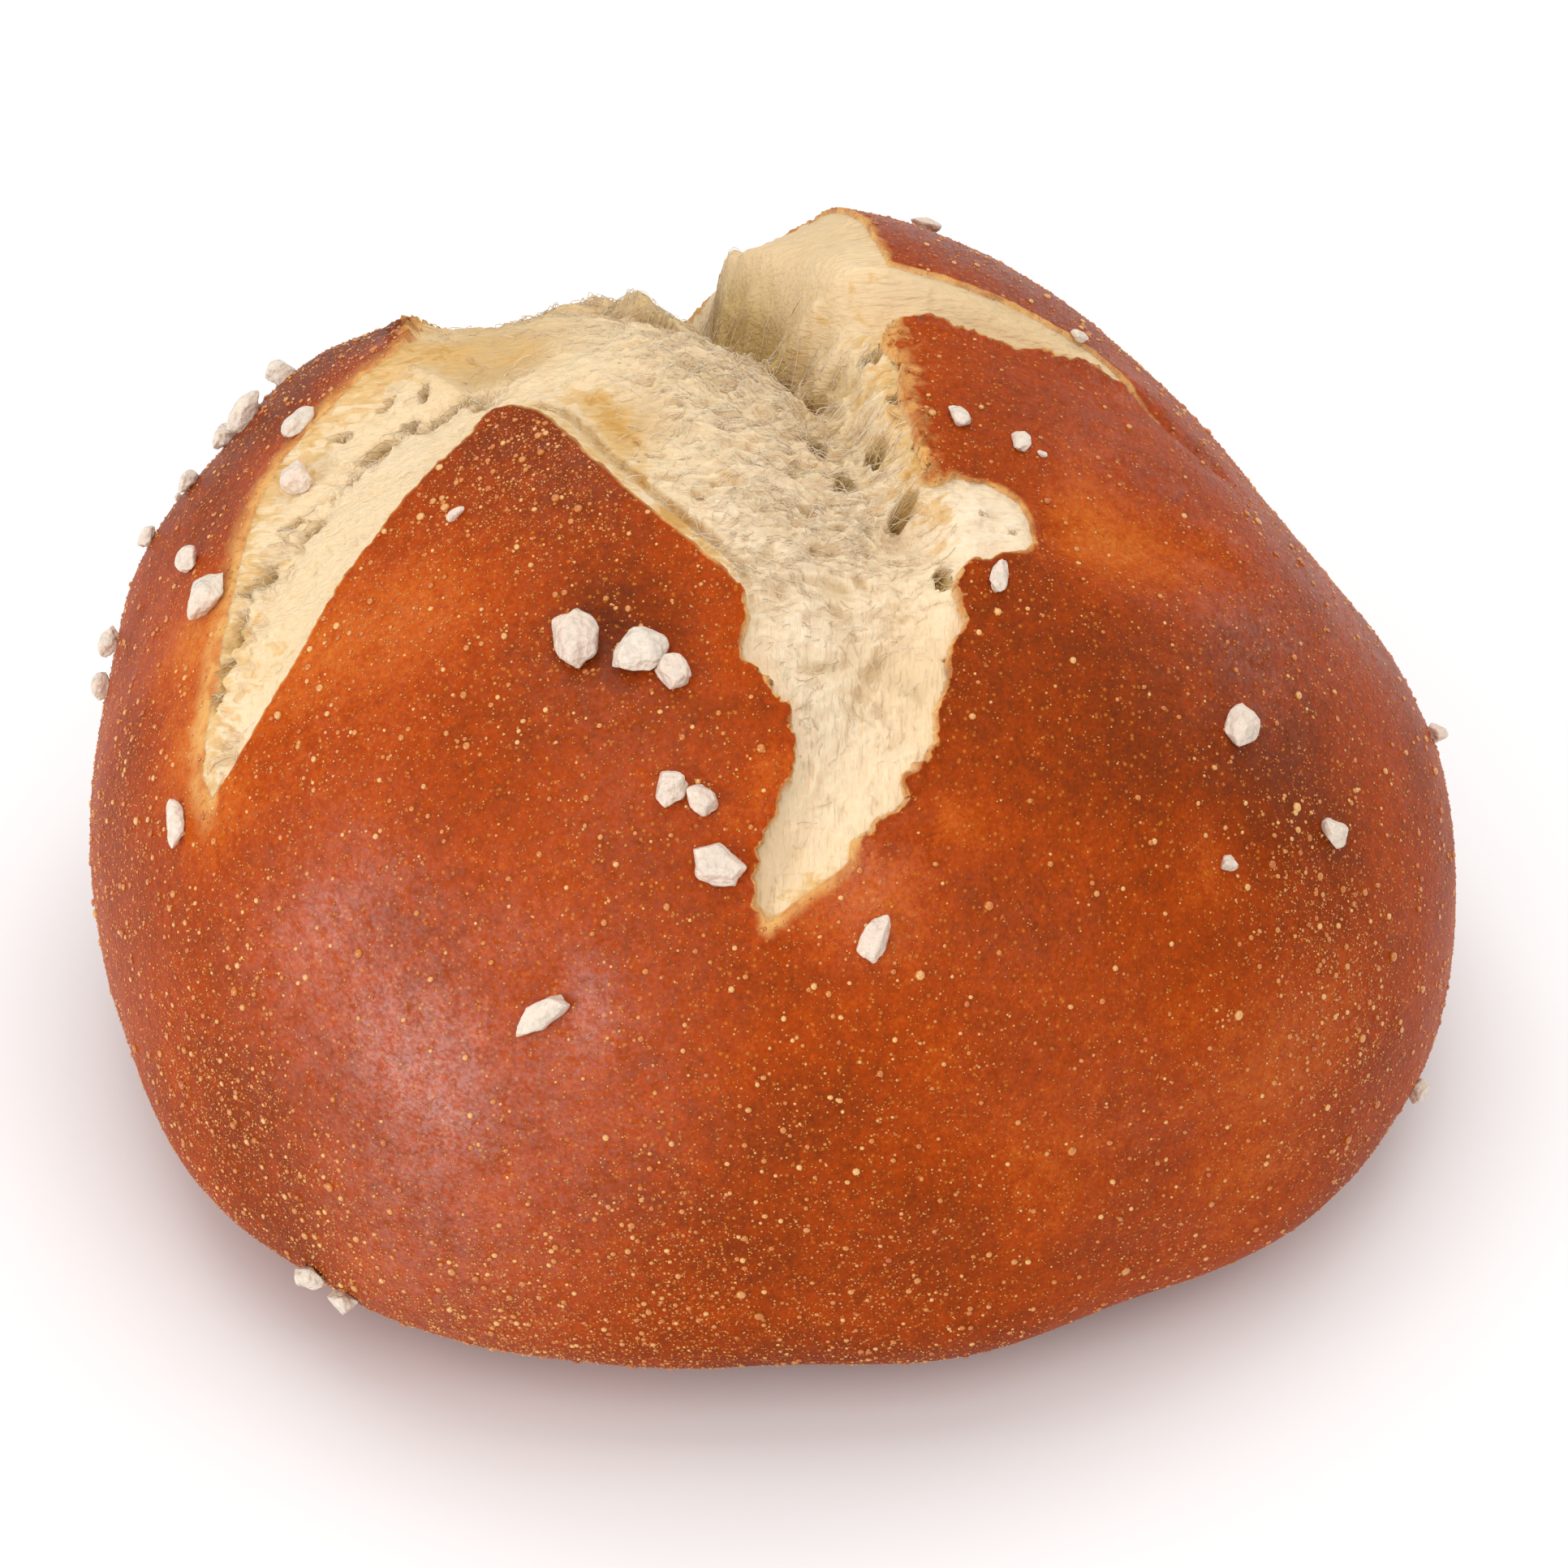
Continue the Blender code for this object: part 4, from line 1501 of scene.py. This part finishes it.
@dataclass
class Crumb:
    """The torn crumb in the opening, closed underneath by a wedge to the roll's middle.

    Attributes:
        roll: The roll it shows in.
        steps: How often the ball that it starts from is divided.
        cuts: How finely each edge of that ball is cut again.
        margin: How far the crumb runs on under the crust.
        golden: Places that browned, each (right, back, spread, amount).
        pale: Places that stayed nearly white, each (right, back, spread, amount).
        tanned: Places that dried to a darker cream, each (right, back, spread, amount).
    """

    roll: Roll
    steps: int = 7
    cuts: int = 3
    margin: float = 0.9
    pale: Rows = (
        (2, -20, 12, 0.5), (4, -34, 10, 0.6), (16, -17, 4, 1), (-42, -23, 4, 0.5), (-31, -1, 3, 0.25),
    )
    tanned: Rows = (
        (-22, 26, 11, 0.85), (-21, 6, 3.2, 0.90), (-23, 11, 4.5, 1.2), (-10.5, -7, 3.5, 0.80),
        (9.7, -30.5, 4, 0.45), (-17, 9, 5, 0.35), (4, 16, 8, 0.35), (0, 30, 10, 0.35), (18, 7, 7, 0.45),
    )
    golden: Rows = (
        (-13.2, -3.8, 1.7, 0.62), (-11.8, -5.8, 1.6, 0.75), (-14.8, -1.6, 2, 0.30), (-11, -8, 1.6, 0.7),
        (-10, -10.2, 1.4, 0.55), (-9.2, -13.1, 1, 0.6), (-7, -17.4, 1.3, 0.9), (-4.6, -20.4, 1, 0.5),
        (-7.6, -11.2, 0.9, 0.35), (-3, -13.2, 0.9, 0.3), (-25.2, 12, 3, 0.55), (-29.6, 9.4, 2.4, 0.35),
        (-20, 9.4, 2, 0.45), (-22, 24, 5, 0.25), (7, 7, 2.2, 0.22), (8.6, -1, 1.5, 0.3),
        (9.4, -6.5, 1.3, 0.3), (10.8, -11.5, 1.2, 0.45), (12.6, -16, 0.9, 0.6), (12.8, -18.5, 0.9, 0.5),
        (-1, 29, 3.5, 0.3), (-37, 1.5, 2, 0.15), (-38, -19, 3, 0.30), (-33, -10, 2.4, 0.28),
        (-28, -5, 1.8, 0.25), (2, 9, 5, 0.22), (3, -45.6, 1.2, 0.4), (-14, 50, 6, 0.3),
    )

    def build(self) -> bpy.types.Mesh:
        """Build the crumb's closed mesh."""
        form = self.roll.form
        mesh = bmesh.new()
        bmesh.ops.create_icosphere(mesh, subdivisions=self.steps, radius=1.0)
        inside, _ = self.roll.opening.look_up(ball_places(mesh, form))
        outer = [vertex for vertex, away in zip(mesh.verts, inside) if away < -self.margin]
        bmesh.ops.delete(mesh, geom=outer, context="VERTS")
        bmesh.ops.subdivide_edges(mesh, edges=mesh.edges, cuts=self.cuts, use_grid_fill=True)
        bmesh.ops.triangulate(mesh, faces=mesh.faces)
        places = ball_places(mesh, form)
        move_vertices(mesh, form.points(places, self.roll.crumb_radius(places)))
        rim = [edge for edge in mesh.edges if edge.is_boundary]
        walls = bmesh.ops.extrude_edge_only(mesh, edges=rim)["geom"]
        deep = [item for item in walls if isinstance(item, bmesh.types.BMVert)]
        heart = Vector((*form.middle, form.belt))
        bmesh.ops.pointmerge(mesh, verts=deep, merge_co=heart)
        return mesh_from_bmesh("crumb", mesh)

    def dress(self, data: bpy.types.Mesh) -> bpy.types.Object:
        """Store what the finish reads, and make the mesh a piece.

        Args:
            data: The crumb's mesh.

        Returns:
            The finished piece.
        """
        places = self.roll.form.places_of(data_points(data))
        inside, finish = self.roll.opening.look_up(places)
        relief, sunk = self.roll.relief(places, inside, finish[:, 4])
        near_edge = np.exp(-np.maximum(inside, 0.0) / (0.3 + finish[:, 1]))
        gold = bumps(places, self.golden) + near_edge * np.clip(finish[:, 1] - 0.2, 0.0, 1.2) * 0.5
        gold += 0.42 * (inside < finish[:, 4] - 0.2) * smooth_step(inside / 0.3)
        depth = self.roll.opening.crumb_depth(places, inside, finish[:, 2])
        front = smooth_step((-places[:, 1] - 12.0) / 18.0)
        add_number(data, "gold", gold)
        # Painted light and shade: raised relief is painted paler and its hollows tanner.
        add_number(data, "pale", bumps(places, self.pale) + relief * 0.3)
        add_number(data, "tan", bumps(places, self.tanned) - relief * 0.2)
        # Painted shade: darker deep in the valleys, in hollows of the relief and in holes.
        shade = smooth_step((depth - 3.6) / 4.5) * 0.75 + np.maximum(-relief, 0.0) * 0.3
        add_number(data, "deep", np.clip(sunk * 0.6 + shade, 0.0, 1.0))
        add_number(data, "along", front)
        return finish_object("crumb", data, CrumbFinish().build())


@dataclass
class CrumbFibres:
    """Thin strands of crumb drawn out across the tear.

    Attributes:
        roll: The roll that tore.
        count: How many strands lie over the crumb.
        webs: How many more span each hole.
        lengths: Least and greatest length of a strand over the crumb.
        radii: Least and greatest radius.
        rings: Rings of vertices along each strand.
        sides: Vertices in each ring.
        seed: Seed of the random draws.
    """

    roll: Roll
    count: int = 4300
    webs: int = 13
    lengths: tuple[float, float] = (0.5, 2.4)
    radii: tuple[float, float] = (0.02, 0.05)
    rings: int = 6
    sides: int = 3
    seed: int = 17

    def build(self) -> bpy.types.Mesh:
        """Build all strands as one mesh."""
        rng = np.random.default_rng(self.seed)
        drawn = zip(self.loose(rng), self.web(rng))
        spots, heading, length = (np.concatenate(both) for both in drawn)
        n = len(spots)
        rise = rng.uniform(-0.05, 0.4, n) * np.minimum(length, 1.2)
        sway = rng.normal(0.0, 0.16, n)
        thick = rng.uniform(*self.radii, n)
        t = np.linspace(0.0, 1.0, self.rings)
        run = np.column_stack([np.cos(heading), np.sin(heading)])
        side = np.column_stack([-np.sin(heading), np.cos(heading)])
        places = (
            spots[:, None]
            + run[:, None] * ((t - 0.5)[None, :, None] * length[:, None, None])
            + side[:, None] * (np.sin(t * 4.2)[None, :, None] * (sway * length)[:, None, None])
        )
        radius = self.roll.crumb_radius(places.reshape(-1, 2)).reshape(n, self.rings)
        taut = radius[:, :1] * (1.0 - t) + radius[:, -1:] * t
        lift = rise[:, None] * 4.0 * t * (1.0 - t) - 0.05
        radius = np.maximum(radius, taut) + lift
        spine = self.roll.form.points(places.reshape(-1, 2), radius.reshape(-1))
        return mesh_from_triangles(
            "crumb_fibres", *self.tubes(spine.reshape(n, self.rings, 3), thick, t)
        )

    def loose(self, rng: np.random.Generator) -> tuple[Array, Array, Array]:
        """Draw the strands that lie over the torn crumb.

        Args:
            rng: The source of random draws.

        Returns:
            Their middles, headings and lengths.
        """
        spots = rng.uniform((-46.0, -46.0), (20.0, 50.0), (self.count * 14, 2))
        inside, _ = self.roll.opening.look_up(spots)
        rough = self.roll.torn(spots)
        share = np.maximum(rough - 0.2, 0.0) ** 1.5 * (1.0 - 0.85 * self.roll.cut_wall(spots))
        kept = (inside > 0.8) & (rng.random(len(spots)) < share)
        spots = spots[kept][: self.count]
        n = len(spots)
        front, left = self.roll.arms(spots)
        swirl = noise(spots, 5.0, 66) * 90.0 + rng.normal(0.0, 22.0, n)
        heading = np.radians(8.0 + 62.0 * front * (1.0 - left) + 110.0 * left + swirl)
        return spots, heading, rng.uniform(*self.lengths, n)

    def web(self, rng: np.random.Generator) -> tuple[Array, Array, Array]:
        """Draw the strands that span the holes.

        Args:
            rng: The source of random draws.

        Returns:
            Their middles, headings and lengths.
        """
        holes = np.repeat(np.array(self.roll.holes), self.webs, axis=0)
        n = len(holes)
        along = np.radians(holes[:, 4])
        shift = rng.uniform(-1.0, 1.0, n) * holes[:, 2]
        spots = holes[:, :2] + np.column_stack([np.cos(along), np.sin(along)]) * shift[:, None]
        heading = along + np.radians(90.0 + rng.normal(0.0, 30.0, n))
        return spots, heading, holes[:, 3] * rng.uniform(1.8, 3.4, n)

    def tubes(self, spine: Array, thick: Array, t: Array) -> tuple[Array, Array]:
        """Skin each spine with a tapering tube.

        Args:
            spine: Points along each strand.
            thick: Each strand's greatest radius.
            t: Position of each ring along the strand, 0 to 1.

        Returns:
            The points of all tubes and their triangles, which face outwards.
        """
        n = len(spine)
        middle = np.array([*self.roll.form.middle, self.roll.form.belt])
        along = np.gradient(spine, axis=1)
        along /= np.linalg.norm(along, axis=2)[..., None]
        out = spine - middle
        side = np.cross(along, out)
        side /= np.linalg.norm(side, axis=2)[..., None]
        up = np.cross(side, along)
        taper = 0.15 + 0.85 * np.sqrt(np.clip(4.0 * t * (1.0 - t), 0.0, 1.0))
        rings = []
        for k in range(self.sides):
            angle = math.tau * k / self.sides
            offset = math.cos(angle) * side + math.sin(angle) * up
            rings.append(spine + offset * (thick[:, None] * taper)[..., None])
        points = np.stack(rings, axis=2)
        per_strand = self.rings * self.sides
        faces = []
        for ring in range(self.rings - 1):
            for k in range(self.sides):
                a = ring * self.sides + k
                b = ring * self.sides + (k + 1) % self.sides
                faces += [(b, a, a + self.sides), (b + self.sides, b, a + self.sides)]
        last = per_strand - self.sides
        faces += [(0, k, k + 1) for k in range(1, self.sides - 1)]
        faces += [(last, last + k + 1, last + k) for k in range(1, self.sides - 1)]
        triangles = np.array(faces)[None] + np.arange(n)[:, None, None] * per_strand
        return points.reshape(-1, 3), triangles.reshape(-1, 3)

    def dress(self, data: bpy.types.Mesh, finish: bpy.types.Material) -> bpy.types.Object:
        """Make the strands a piece with the crumb's finish.

        Args:
            data: The strands' mesh.
            finish: The crumb's material.

        Returns:
            The finished piece.
        """
        places = self.roll.form.places_of(data_points(data))
        inside, edge = self.roll.opening.look_up(places)
        _, sunk = self.roll.relief(places, inside, edge[:, 4])
        tan = 0.35 * smooth_step((places[:, 1] - 2.0) / 14.0)
        _, left = self.roll.arms(places)
        add_number(data, "gold", 0.3 * left)
        # Painted shade: strands lying in holes are painted less pale, tanner and darker.
        add_number(data, "pale", 0.5 - sunk * 0.3)
        add_number(data, "tan", tan + sunk * 0.3)
        add_number(data, "deep", np.clip(sunk * 0.35, 0.0, 0.7))
        return finish_object("crumb_fibres", data, finish)


@dataclass
class Blisters:
    """Golden blisters of one size, all over the crust.

    Attributes:
        roll: The roll they cover.
        name: Name of the piece.
        most: How many there are at most.
        tries: How many places are drawn.
        share: Share of those places that get one.
        least: Radius of the smallest.
        spread: How much larger they may be.
        bulge: Least and greatest height, as a share of the radius.
        paleness: Their mean paleness, from 0 to 1.
        seed: Seed of the random draws.
        lowest: Distance over the crust from the top beyond which there are none.
        crowded: Where they crowd or thin out, each (right, back, spread, amount).
    """

    roll: Roll
    name: str
    most: int
    tries: int
    share: float
    least: float
    spread: float
    bulge: tuple[float, float]
    paleness: float
    seed: int
    lowest: float = 84.0
    crowded: Rows = (
        (-18, -8.5, 7, 1.10), (-14, -16, 8, 0.40), (-26, -18, 9, 0.45), (-36, -30, 9, 0.30),
        (-52, -46, 9, 1.50), (-58, -20, 12, 0.40), (-44, -62, 7, 1.50), (-30, -73, 8, 2.00),
        (-12, -74, 9, 1.30), (10, -75, 12, 0.70), (40, -58, 12, 0.12), (44, -34, 6, 0.90),
        (52, -40, 9, 1.00), (-29, -53, 9, -0.20), (26, -30, 12, -0.16), (14, -40, 7, -0.25),
        (22, 0, 10, -0.26), (24, -50, 10, -0.12), (-36, 18, 8, 0.35), (-36, -48, 7, -0.10),
    )

    def build(self, shape: tuple[Array, Array]) -> bpy.types.Mesh:
        """Build all blisters as one mesh.

        Args:
            shape: Points and triangles of a blister of radius 1.

        Returns:
            The mesh.
        """
        rng = np.random.default_rng(self.seed)
        directions = rng.normal(size=(self.tries, 3))
        directions /= np.linalg.norm(directions, axis=1)[:, None]
        places = self.roll.form.places(directions)
        inside, _ = self.roll.opening.look_up(places)
        patches = noise(directions * 50.0, 6.0, self.seed) * 0.25
        density = self.share * (1.0 + 3.0 * bumps(places, self.crowded) + 2.0 * patches)
        bare = (inside > -0.3) | (np.hypot(*places.T) > self.lowest)
        kept = np.flatnonzero((rng.random(self.tries) < density) & ~bare)
        kept = kept[: self.most]
        n = len(kept)
        points, frames = self.roll.frames(places[kept], 0.5)
        radius = self.least + self.spread * (rng.random(n) ** 2.4 + 1.2 * rng.random(n) ** 16)
        height = radius * rng.uniform(*self.bulge, n)
        outline, faces = shape
        scale = np.column_stack([radius, radius * rng.uniform(0.8, 1.15, n), height])
        copies = np.einsum("nij,nmj->nmi", frames, outline[None] * scale[:, None])
        copies += (points - frames[:, :, 2] * 0.012)[:, None]
        triangles = faces[None] + (np.arange(n) * len(outline))[:, None, None]
        data = mesh_from_triangles(self.name, copies.reshape(-1, 3), triangles.reshape(-1, 3))
        pale = np.clip(rng.normal(self.paleness, 0.26, n), 0.0, 1.0)
        add_number(data, "pale", np.repeat(pale, len(outline)))
        return data

    def dress(self, data: bpy.types.Mesh, finish: bpy.types.Material) -> bpy.types.Object:
        """Make the blisters a piece with this finish and return it."""
        return finish_object(self.name, data, finish)


def blister_dome() -> tuple[Array, Array]:
    """Points and triangles of a round blister of radius 1."""
    mesh = bmesh.new()
    bmesh.ops.create_uvsphere(mesh, u_segments=7, v_segments=4, radius=1.0)
    everything = mesh.verts[:] + mesh.edges[:] + mesh.faces[:]
    bmesh.ops.bisect_plane(
        mesh, geom=everything, plane_co=(0, 0, -0.01), plane_no=(0, 0, -1), clear_outer=True
    )
    rim = [edge for edge in mesh.edges if edge.is_boundary]
    bmesh.ops.contextual_create(mesh, geom=rim)
    bmesh.ops.remove_doubles(mesh, verts=mesh.verts, dist=0.05)
    return template(mesh)


def blister_bead() -> tuple[Array, Array]:
    """Points and triangles of a tiny blister of radius 1, only a blunt cone."""
    mesh = bmesh.new()
    bmesh.ops.create_cone(mesh, cap_ends=True, segments=5, radius1=1.0, radius2=0.0, depth=1.0)
    bmesh.ops.translate(mesh, vec=(0.0, 0.0, 0.5), verts=mesh.verts)
    return template(mesh)


@dataclass
class Salt:
    """Coarse salt grains, each cut from a ball by its own planes.

    Attributes:
        roll: The roll they lie on.
        seed: Seed of the random draws.
        grains: Those listed one by one, each (right, back, length, width, heading).
        strewn: How many more are strewn over the back.
        girth: Half a grain's extent, less what its corners stick out beyond its planes.
        planes: How many planes cut each grain.
        cut_span: Least and greatest distance of those planes from its middle.
    """

    roll: Roll
    seed: int = 23
    strewn: int = 26
    girth: float = 0.44
    planes: int = 13
    cut_span: tuple[float, float] = (0.72, 1.0)
    grains: Rows = (
        (-39.4, 21.5, 2.3, 2.1, 0), (-45, 18.6, 2.4, 1.9, 80), (-42.6, 17.6, 3.7, 2.3, 35),
        (-36.6, 7.2, 2.9, 1.9, 50), (-37.4, 0.6, 3.1, 2.4, 100), (-48.4, 14.6, 2.3, 1.7, 80),
        (-53, 13, 2.4, 1.6, 80), (-47, -0.5, 2.1, 1.8, 60), (-43.8, -8.6, 4.2, 2.8, 65),
        (-60, 8.6, 2.5, 1.7, 70), (-62.4, 6, 2.6, 1.6, 80), (-47.7, -26.8, 3.4, 1.4, 80),
        (-22.6, -14.3, 1.4, 0.8, 20), (-14.1, -26.9, 4.3, 3, 110), (-9.3, -28.9, 3.8, 3.1, 20),
        (-6.9, -30.4, 3.1, 2.1, 115), (-7.2, -38.3, 2.8, 2.2, 60), (-5, -39.1, 2.7, 2, -40),
        (-3.7, -43.5, 3.7, 2.8, -20), (-18.3, -51.6, 4.1, 2.2, 15), (8, -47.9, 3.3, 2, 75),
        (35.2, -26.4, 3.8, 2.2, 95), (44.9, -29.3, 2.3, 2, 0), (35.8, -36.3, 1.3, 1.2, 0),
        (13.6, -6.8, 1.9, 1.4, -60), (18.2, -8.2, 1.9, 1.3, -60), (19.8, -8.6, 0.7, 0.5, 0),
        (16.2, -21.9, 3, 1.2, 85), (11.8, 25, 2.5, 1.6, -10), (23.2, 8.8, 1.3, 0.9, 0),
        (-50.1, -62.3, 2.5, 2, -50), (-47.4, -65.5, 2.4, 2, -50), (60.8, -4.5, 2.4, 1.5, 80),
        (73.6, -31, 2.6, 1.6, 70), (-50.2, 16.4, 0.8, 0.7, 0),
    )

    def build(self) -> bpy.types.Mesh:
        """Build all grains as one mesh."""
        rng = np.random.default_rng(self.seed)
        table = np.array(self.grains + self.strewn_grains(rng))
        sites, frames = self.roll.frames(table[:, :2])
        points, triangles, tints = [], [], []
        offset = 0
        for row, site, frame in zip(table, sites, frames):
            shape, faces = self.grain(rng)
            heading = math.radians(row[4])
            c, s = math.cos(heading), math.sin(heading)
            turn = np.array([[c, -s, 0.0], [s, c, 0.0], [0.0, 0.0, 1.0]])
            height = row[3] * rng.uniform(0.75, 0.95)
            size = np.array([row[2], row[3], height]) * self.girth
            local = (shape * size) @ turn.T
            local[:, 2] += height * 0.32
            points.append(local @ frame.T + site)
            triangles.append(faces + offset)
            tints.append(np.full(len(shape), rng.random() ** 2 * 0.8))
            offset += len(shape)
        data = mesh_from_triangles("salt", np.concatenate(points), np.concatenate(triangles))
        add_number(data, "tint", np.concatenate(tints))
        return data

    def strewn_grains(self, rng: np.random.Generator) -> Rows:
        """Draw the grains that are strewn over the back.

        Args:
            rng: The source of random draws.

        Returns:
            One (right, back, length, width, heading) for each.
        """
        found: list[tuple[float, ...]] = []
        while len(found) < self.strewn:
            heading = math.radians(rng.uniform(12.0, 168.0))
            walk = rng.uniform(40.0, 80.0)
            place = np.array([[walk * math.cos(heading), walk * math.sin(heading)]])
            hidden = place[0, 1] > 34.0 + 0.4 * max(place[0, 0], 0.0)
            if self.roll.opening.look_up(place)[0][0] > -2.0 or not hidden:
                continue
            length = rng.uniform(1.6, 4.0)
            width = length * rng.uniform(0.55, 0.85)
            found.append((*place[0], length, width, rng.uniform(0.0, 180.0)))
        return tuple(found)

    def grain(self, rng: np.random.Generator) -> tuple[Array, Array]:
        """Cut one grain, about 2 across.

        Args:
            rng: The source of random draws.

        Returns:
            Its points and triangles.
        """
        mesh = bmesh.new()
        bmesh.ops.create_icosphere(mesh, subdivisions=4, radius=1.25)
        points, faces = template(mesh)
        for _ in range(self.planes):
            normal = rng.normal(size=3)
            normal /= np.linalg.norm(normal)
            beyond = points @ normal - rng.uniform(*self.cut_span)
            points = points - np.maximum(beyond, 0.0)[:, None] * 0.88 * normal
        shift = rng.uniform(0.0, 90.0, 3)
        grow = 1.0 + noise(points + shift, 0.9, 7) * 0.14 + noise(points + shift, 0.35, 8) * 0.05
        return points * grow[:, None], faces

    def dress(self, data: bpy.types.Mesh) -> bpy.types.Object:
        """Make the salt a piece and return it."""
        return finish_object("salt", data, SaltFinish().build())


# ---------------------------------------------------------------------------
# Studio
# ---------------------------------------------------------------------------


@dataclass(frozen=True)
class Softbox:
    """One soft area light aimed at the roll.

    Attributes:
        name: Its name.
        heading: Degrees round the roll from the front, towards the right.
        height: Degrees above the floor.
        distance: Distance from the roll, in metres.
        size: Width and height, in metres.
        power: Power, in watts.
        tint: Colour of its light.
    """

    name: str
    heading: float
    height: float
    distance: float
    size: tuple[float, float]
    power: float
    tint: Colour = (1.0, 1.0, 1.0)


@dataclass
class Studio:
    """Pale floor, soft lights and the camera.

    Attributes:
        target: What the camera looks at, in millimetres.
        elevation: How steeply it looks down, in degrees.
        distance: How far it stands off, in millimetres.
        lens: Its focal length, for a 36 mm sensor.
        boxes: The lights.
        sky: Strength of the even white light all round.
    """

    target: tuple[float, float, float] = (0.98, -0.25, 21.0)
    elevation: float = 37.0
    distance: float = 381.0
    lens: float = 120.0
    sky: float = 0.46
    boxes: tuple[Softbox, ...] = (
        Softbox("key", -50.0, 8.0, 0.8, (0.54, 0.46), 3.6),
        Softbox("fill", 12.0, 48.0, 1.0, (1.2, 0.8), 4.3),
        Softbox("top", 180.0, 76.0, 1.0, (1.0, 0.9), 5.0),
        Softbox("right_rim", 128.0, 20.0, 0.9, (0.4, 0.4), 1.0),
        Softbox("left_rim", -138.0, 28.0, 0.9, (0.4, 0.4), 0.5),
    )

    def build(self) -> None:
        """Make the floor, the sky, the lights and the camera."""
        mesh = bmesh.new()
        bmesh.ops.create_grid(mesh, x_segments=1, y_segments=1, size=4.0)
        data = bpy.data.meshes.new("floor")
        mesh.to_mesh(data)
        mesh.free()
        data.materials.append(FloorFinish().build())
        floor = bpy.data.objects.new("floor", data)
        bpy.context.scene.collection.objects.link(floor)
        world = bpy.data.worlds.new("studio")
        world.use_nodes = True
        background = world.node_tree.nodes["Background"]
        background.inputs["Color"].default_value = (1.0, 1.0, 1.0, 1.0)
        background.inputs["Strength"].default_value = self.sky
        bpy.context.scene.world = world
        for box in self.boxes:
            self.add_box(box)
        self.add_camera()
        bpy.context.scene.view_settings.view_transform = "Standard"

    def add_box(self, box: Softbox) -> None:
        """Hang one light so that it faces the roll."""
        light = bpy.data.lights.new(box.name, "AREA")
        light.shape = "RECTANGLE"
        light.size, light.size_y = box.size
        light.energy = box.power
        light.color = box.tint
        lamp = bpy.data.objects.new(box.name, light)
        bpy.context.scene.collection.objects.link(lamp)
        heading, height = math.radians(box.heading), math.radians(box.height)
        level = math.cos(height)
        away = Vector((math.sin(heading) * level, -math.cos(heading) * level, math.sin(height)))
        lamp.location = away * box.distance + Vector(self.target) * MM
        lamp.rotation_euler = (-away).to_track_quat("-Z", "Y").to_euler()

    def add_camera(self) -> None:
        """Set up the camera that looks down along +Y."""
        camera = bpy.data.cameras.new("camera")
        camera.lens = self.lens
        camera.sensor_width = 36.0
        camera.clip_start = 0.01
        viewer = bpy.data.objects.new("camera", camera)
        bpy.context.scene.collection.objects.link(viewer)
        tilt = math.radians(self.elevation)
        away = Vector((0.0, -math.cos(tilt), math.sin(tilt)))
        viewer.location = (Vector(self.target) + away * self.distance) * MM
        viewer.rotation_euler = (math.pi / 2 - tilt, 0.0, 0.0)
        bpy.context.scene.camera = viewer


def report(piece: bpy.types.Object) -> None:
    """Log a finished piece and its number of faces."""
    LOG.info("%s: %d faces", piece.name, len(piece.data.polygons))


def main() -> None:
    """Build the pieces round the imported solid."""
    logging.basicConfig(level=logging.INFO, format="%(name)s: %(message)s")
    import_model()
    roll = Roll()
    Studio().build()
    crust = Crust(roll)
    report(crust.dress(crust.build()))
    crumb = Crumb(roll)
    torn = crumb.dress(crumb.build())
    report(torn)
    fibres = CrumbFibres(roll)
    report(fibres.dress(fibres.build(), torn.data.materials[0]))
    glaze = BlisterFinish().build()
    blisters = Blisters(
        roll,
        "blisters",
        most=7400,
        tries=80000,
        share=0.09,
        least=0.12,
        spread=0.15,
        bulge=(0.5, 0.85),
        paleness=0.6,
        seed=5,
    )
    report(blisters.dress(blisters.build(blister_dome()), glaze))
    beads = replace(
        blisters, most=24500, tries=180000, share=0.17, spread=0.05, bulge=(0.6, 1.0), paleness=0.48
    )
    for name, least, seed in (("fine_blisters", 0.085, 6), ("finest_blisters", 0.06, 9)):
        finer = replace(beads, name=name, least=least, seed=seed)
        report(finer.dress(finer.build(blister_bead()), glaze))
    salt = Salt(roll)
    report(salt.dress(salt.build()))


if __name__ == "__main__":
    main()
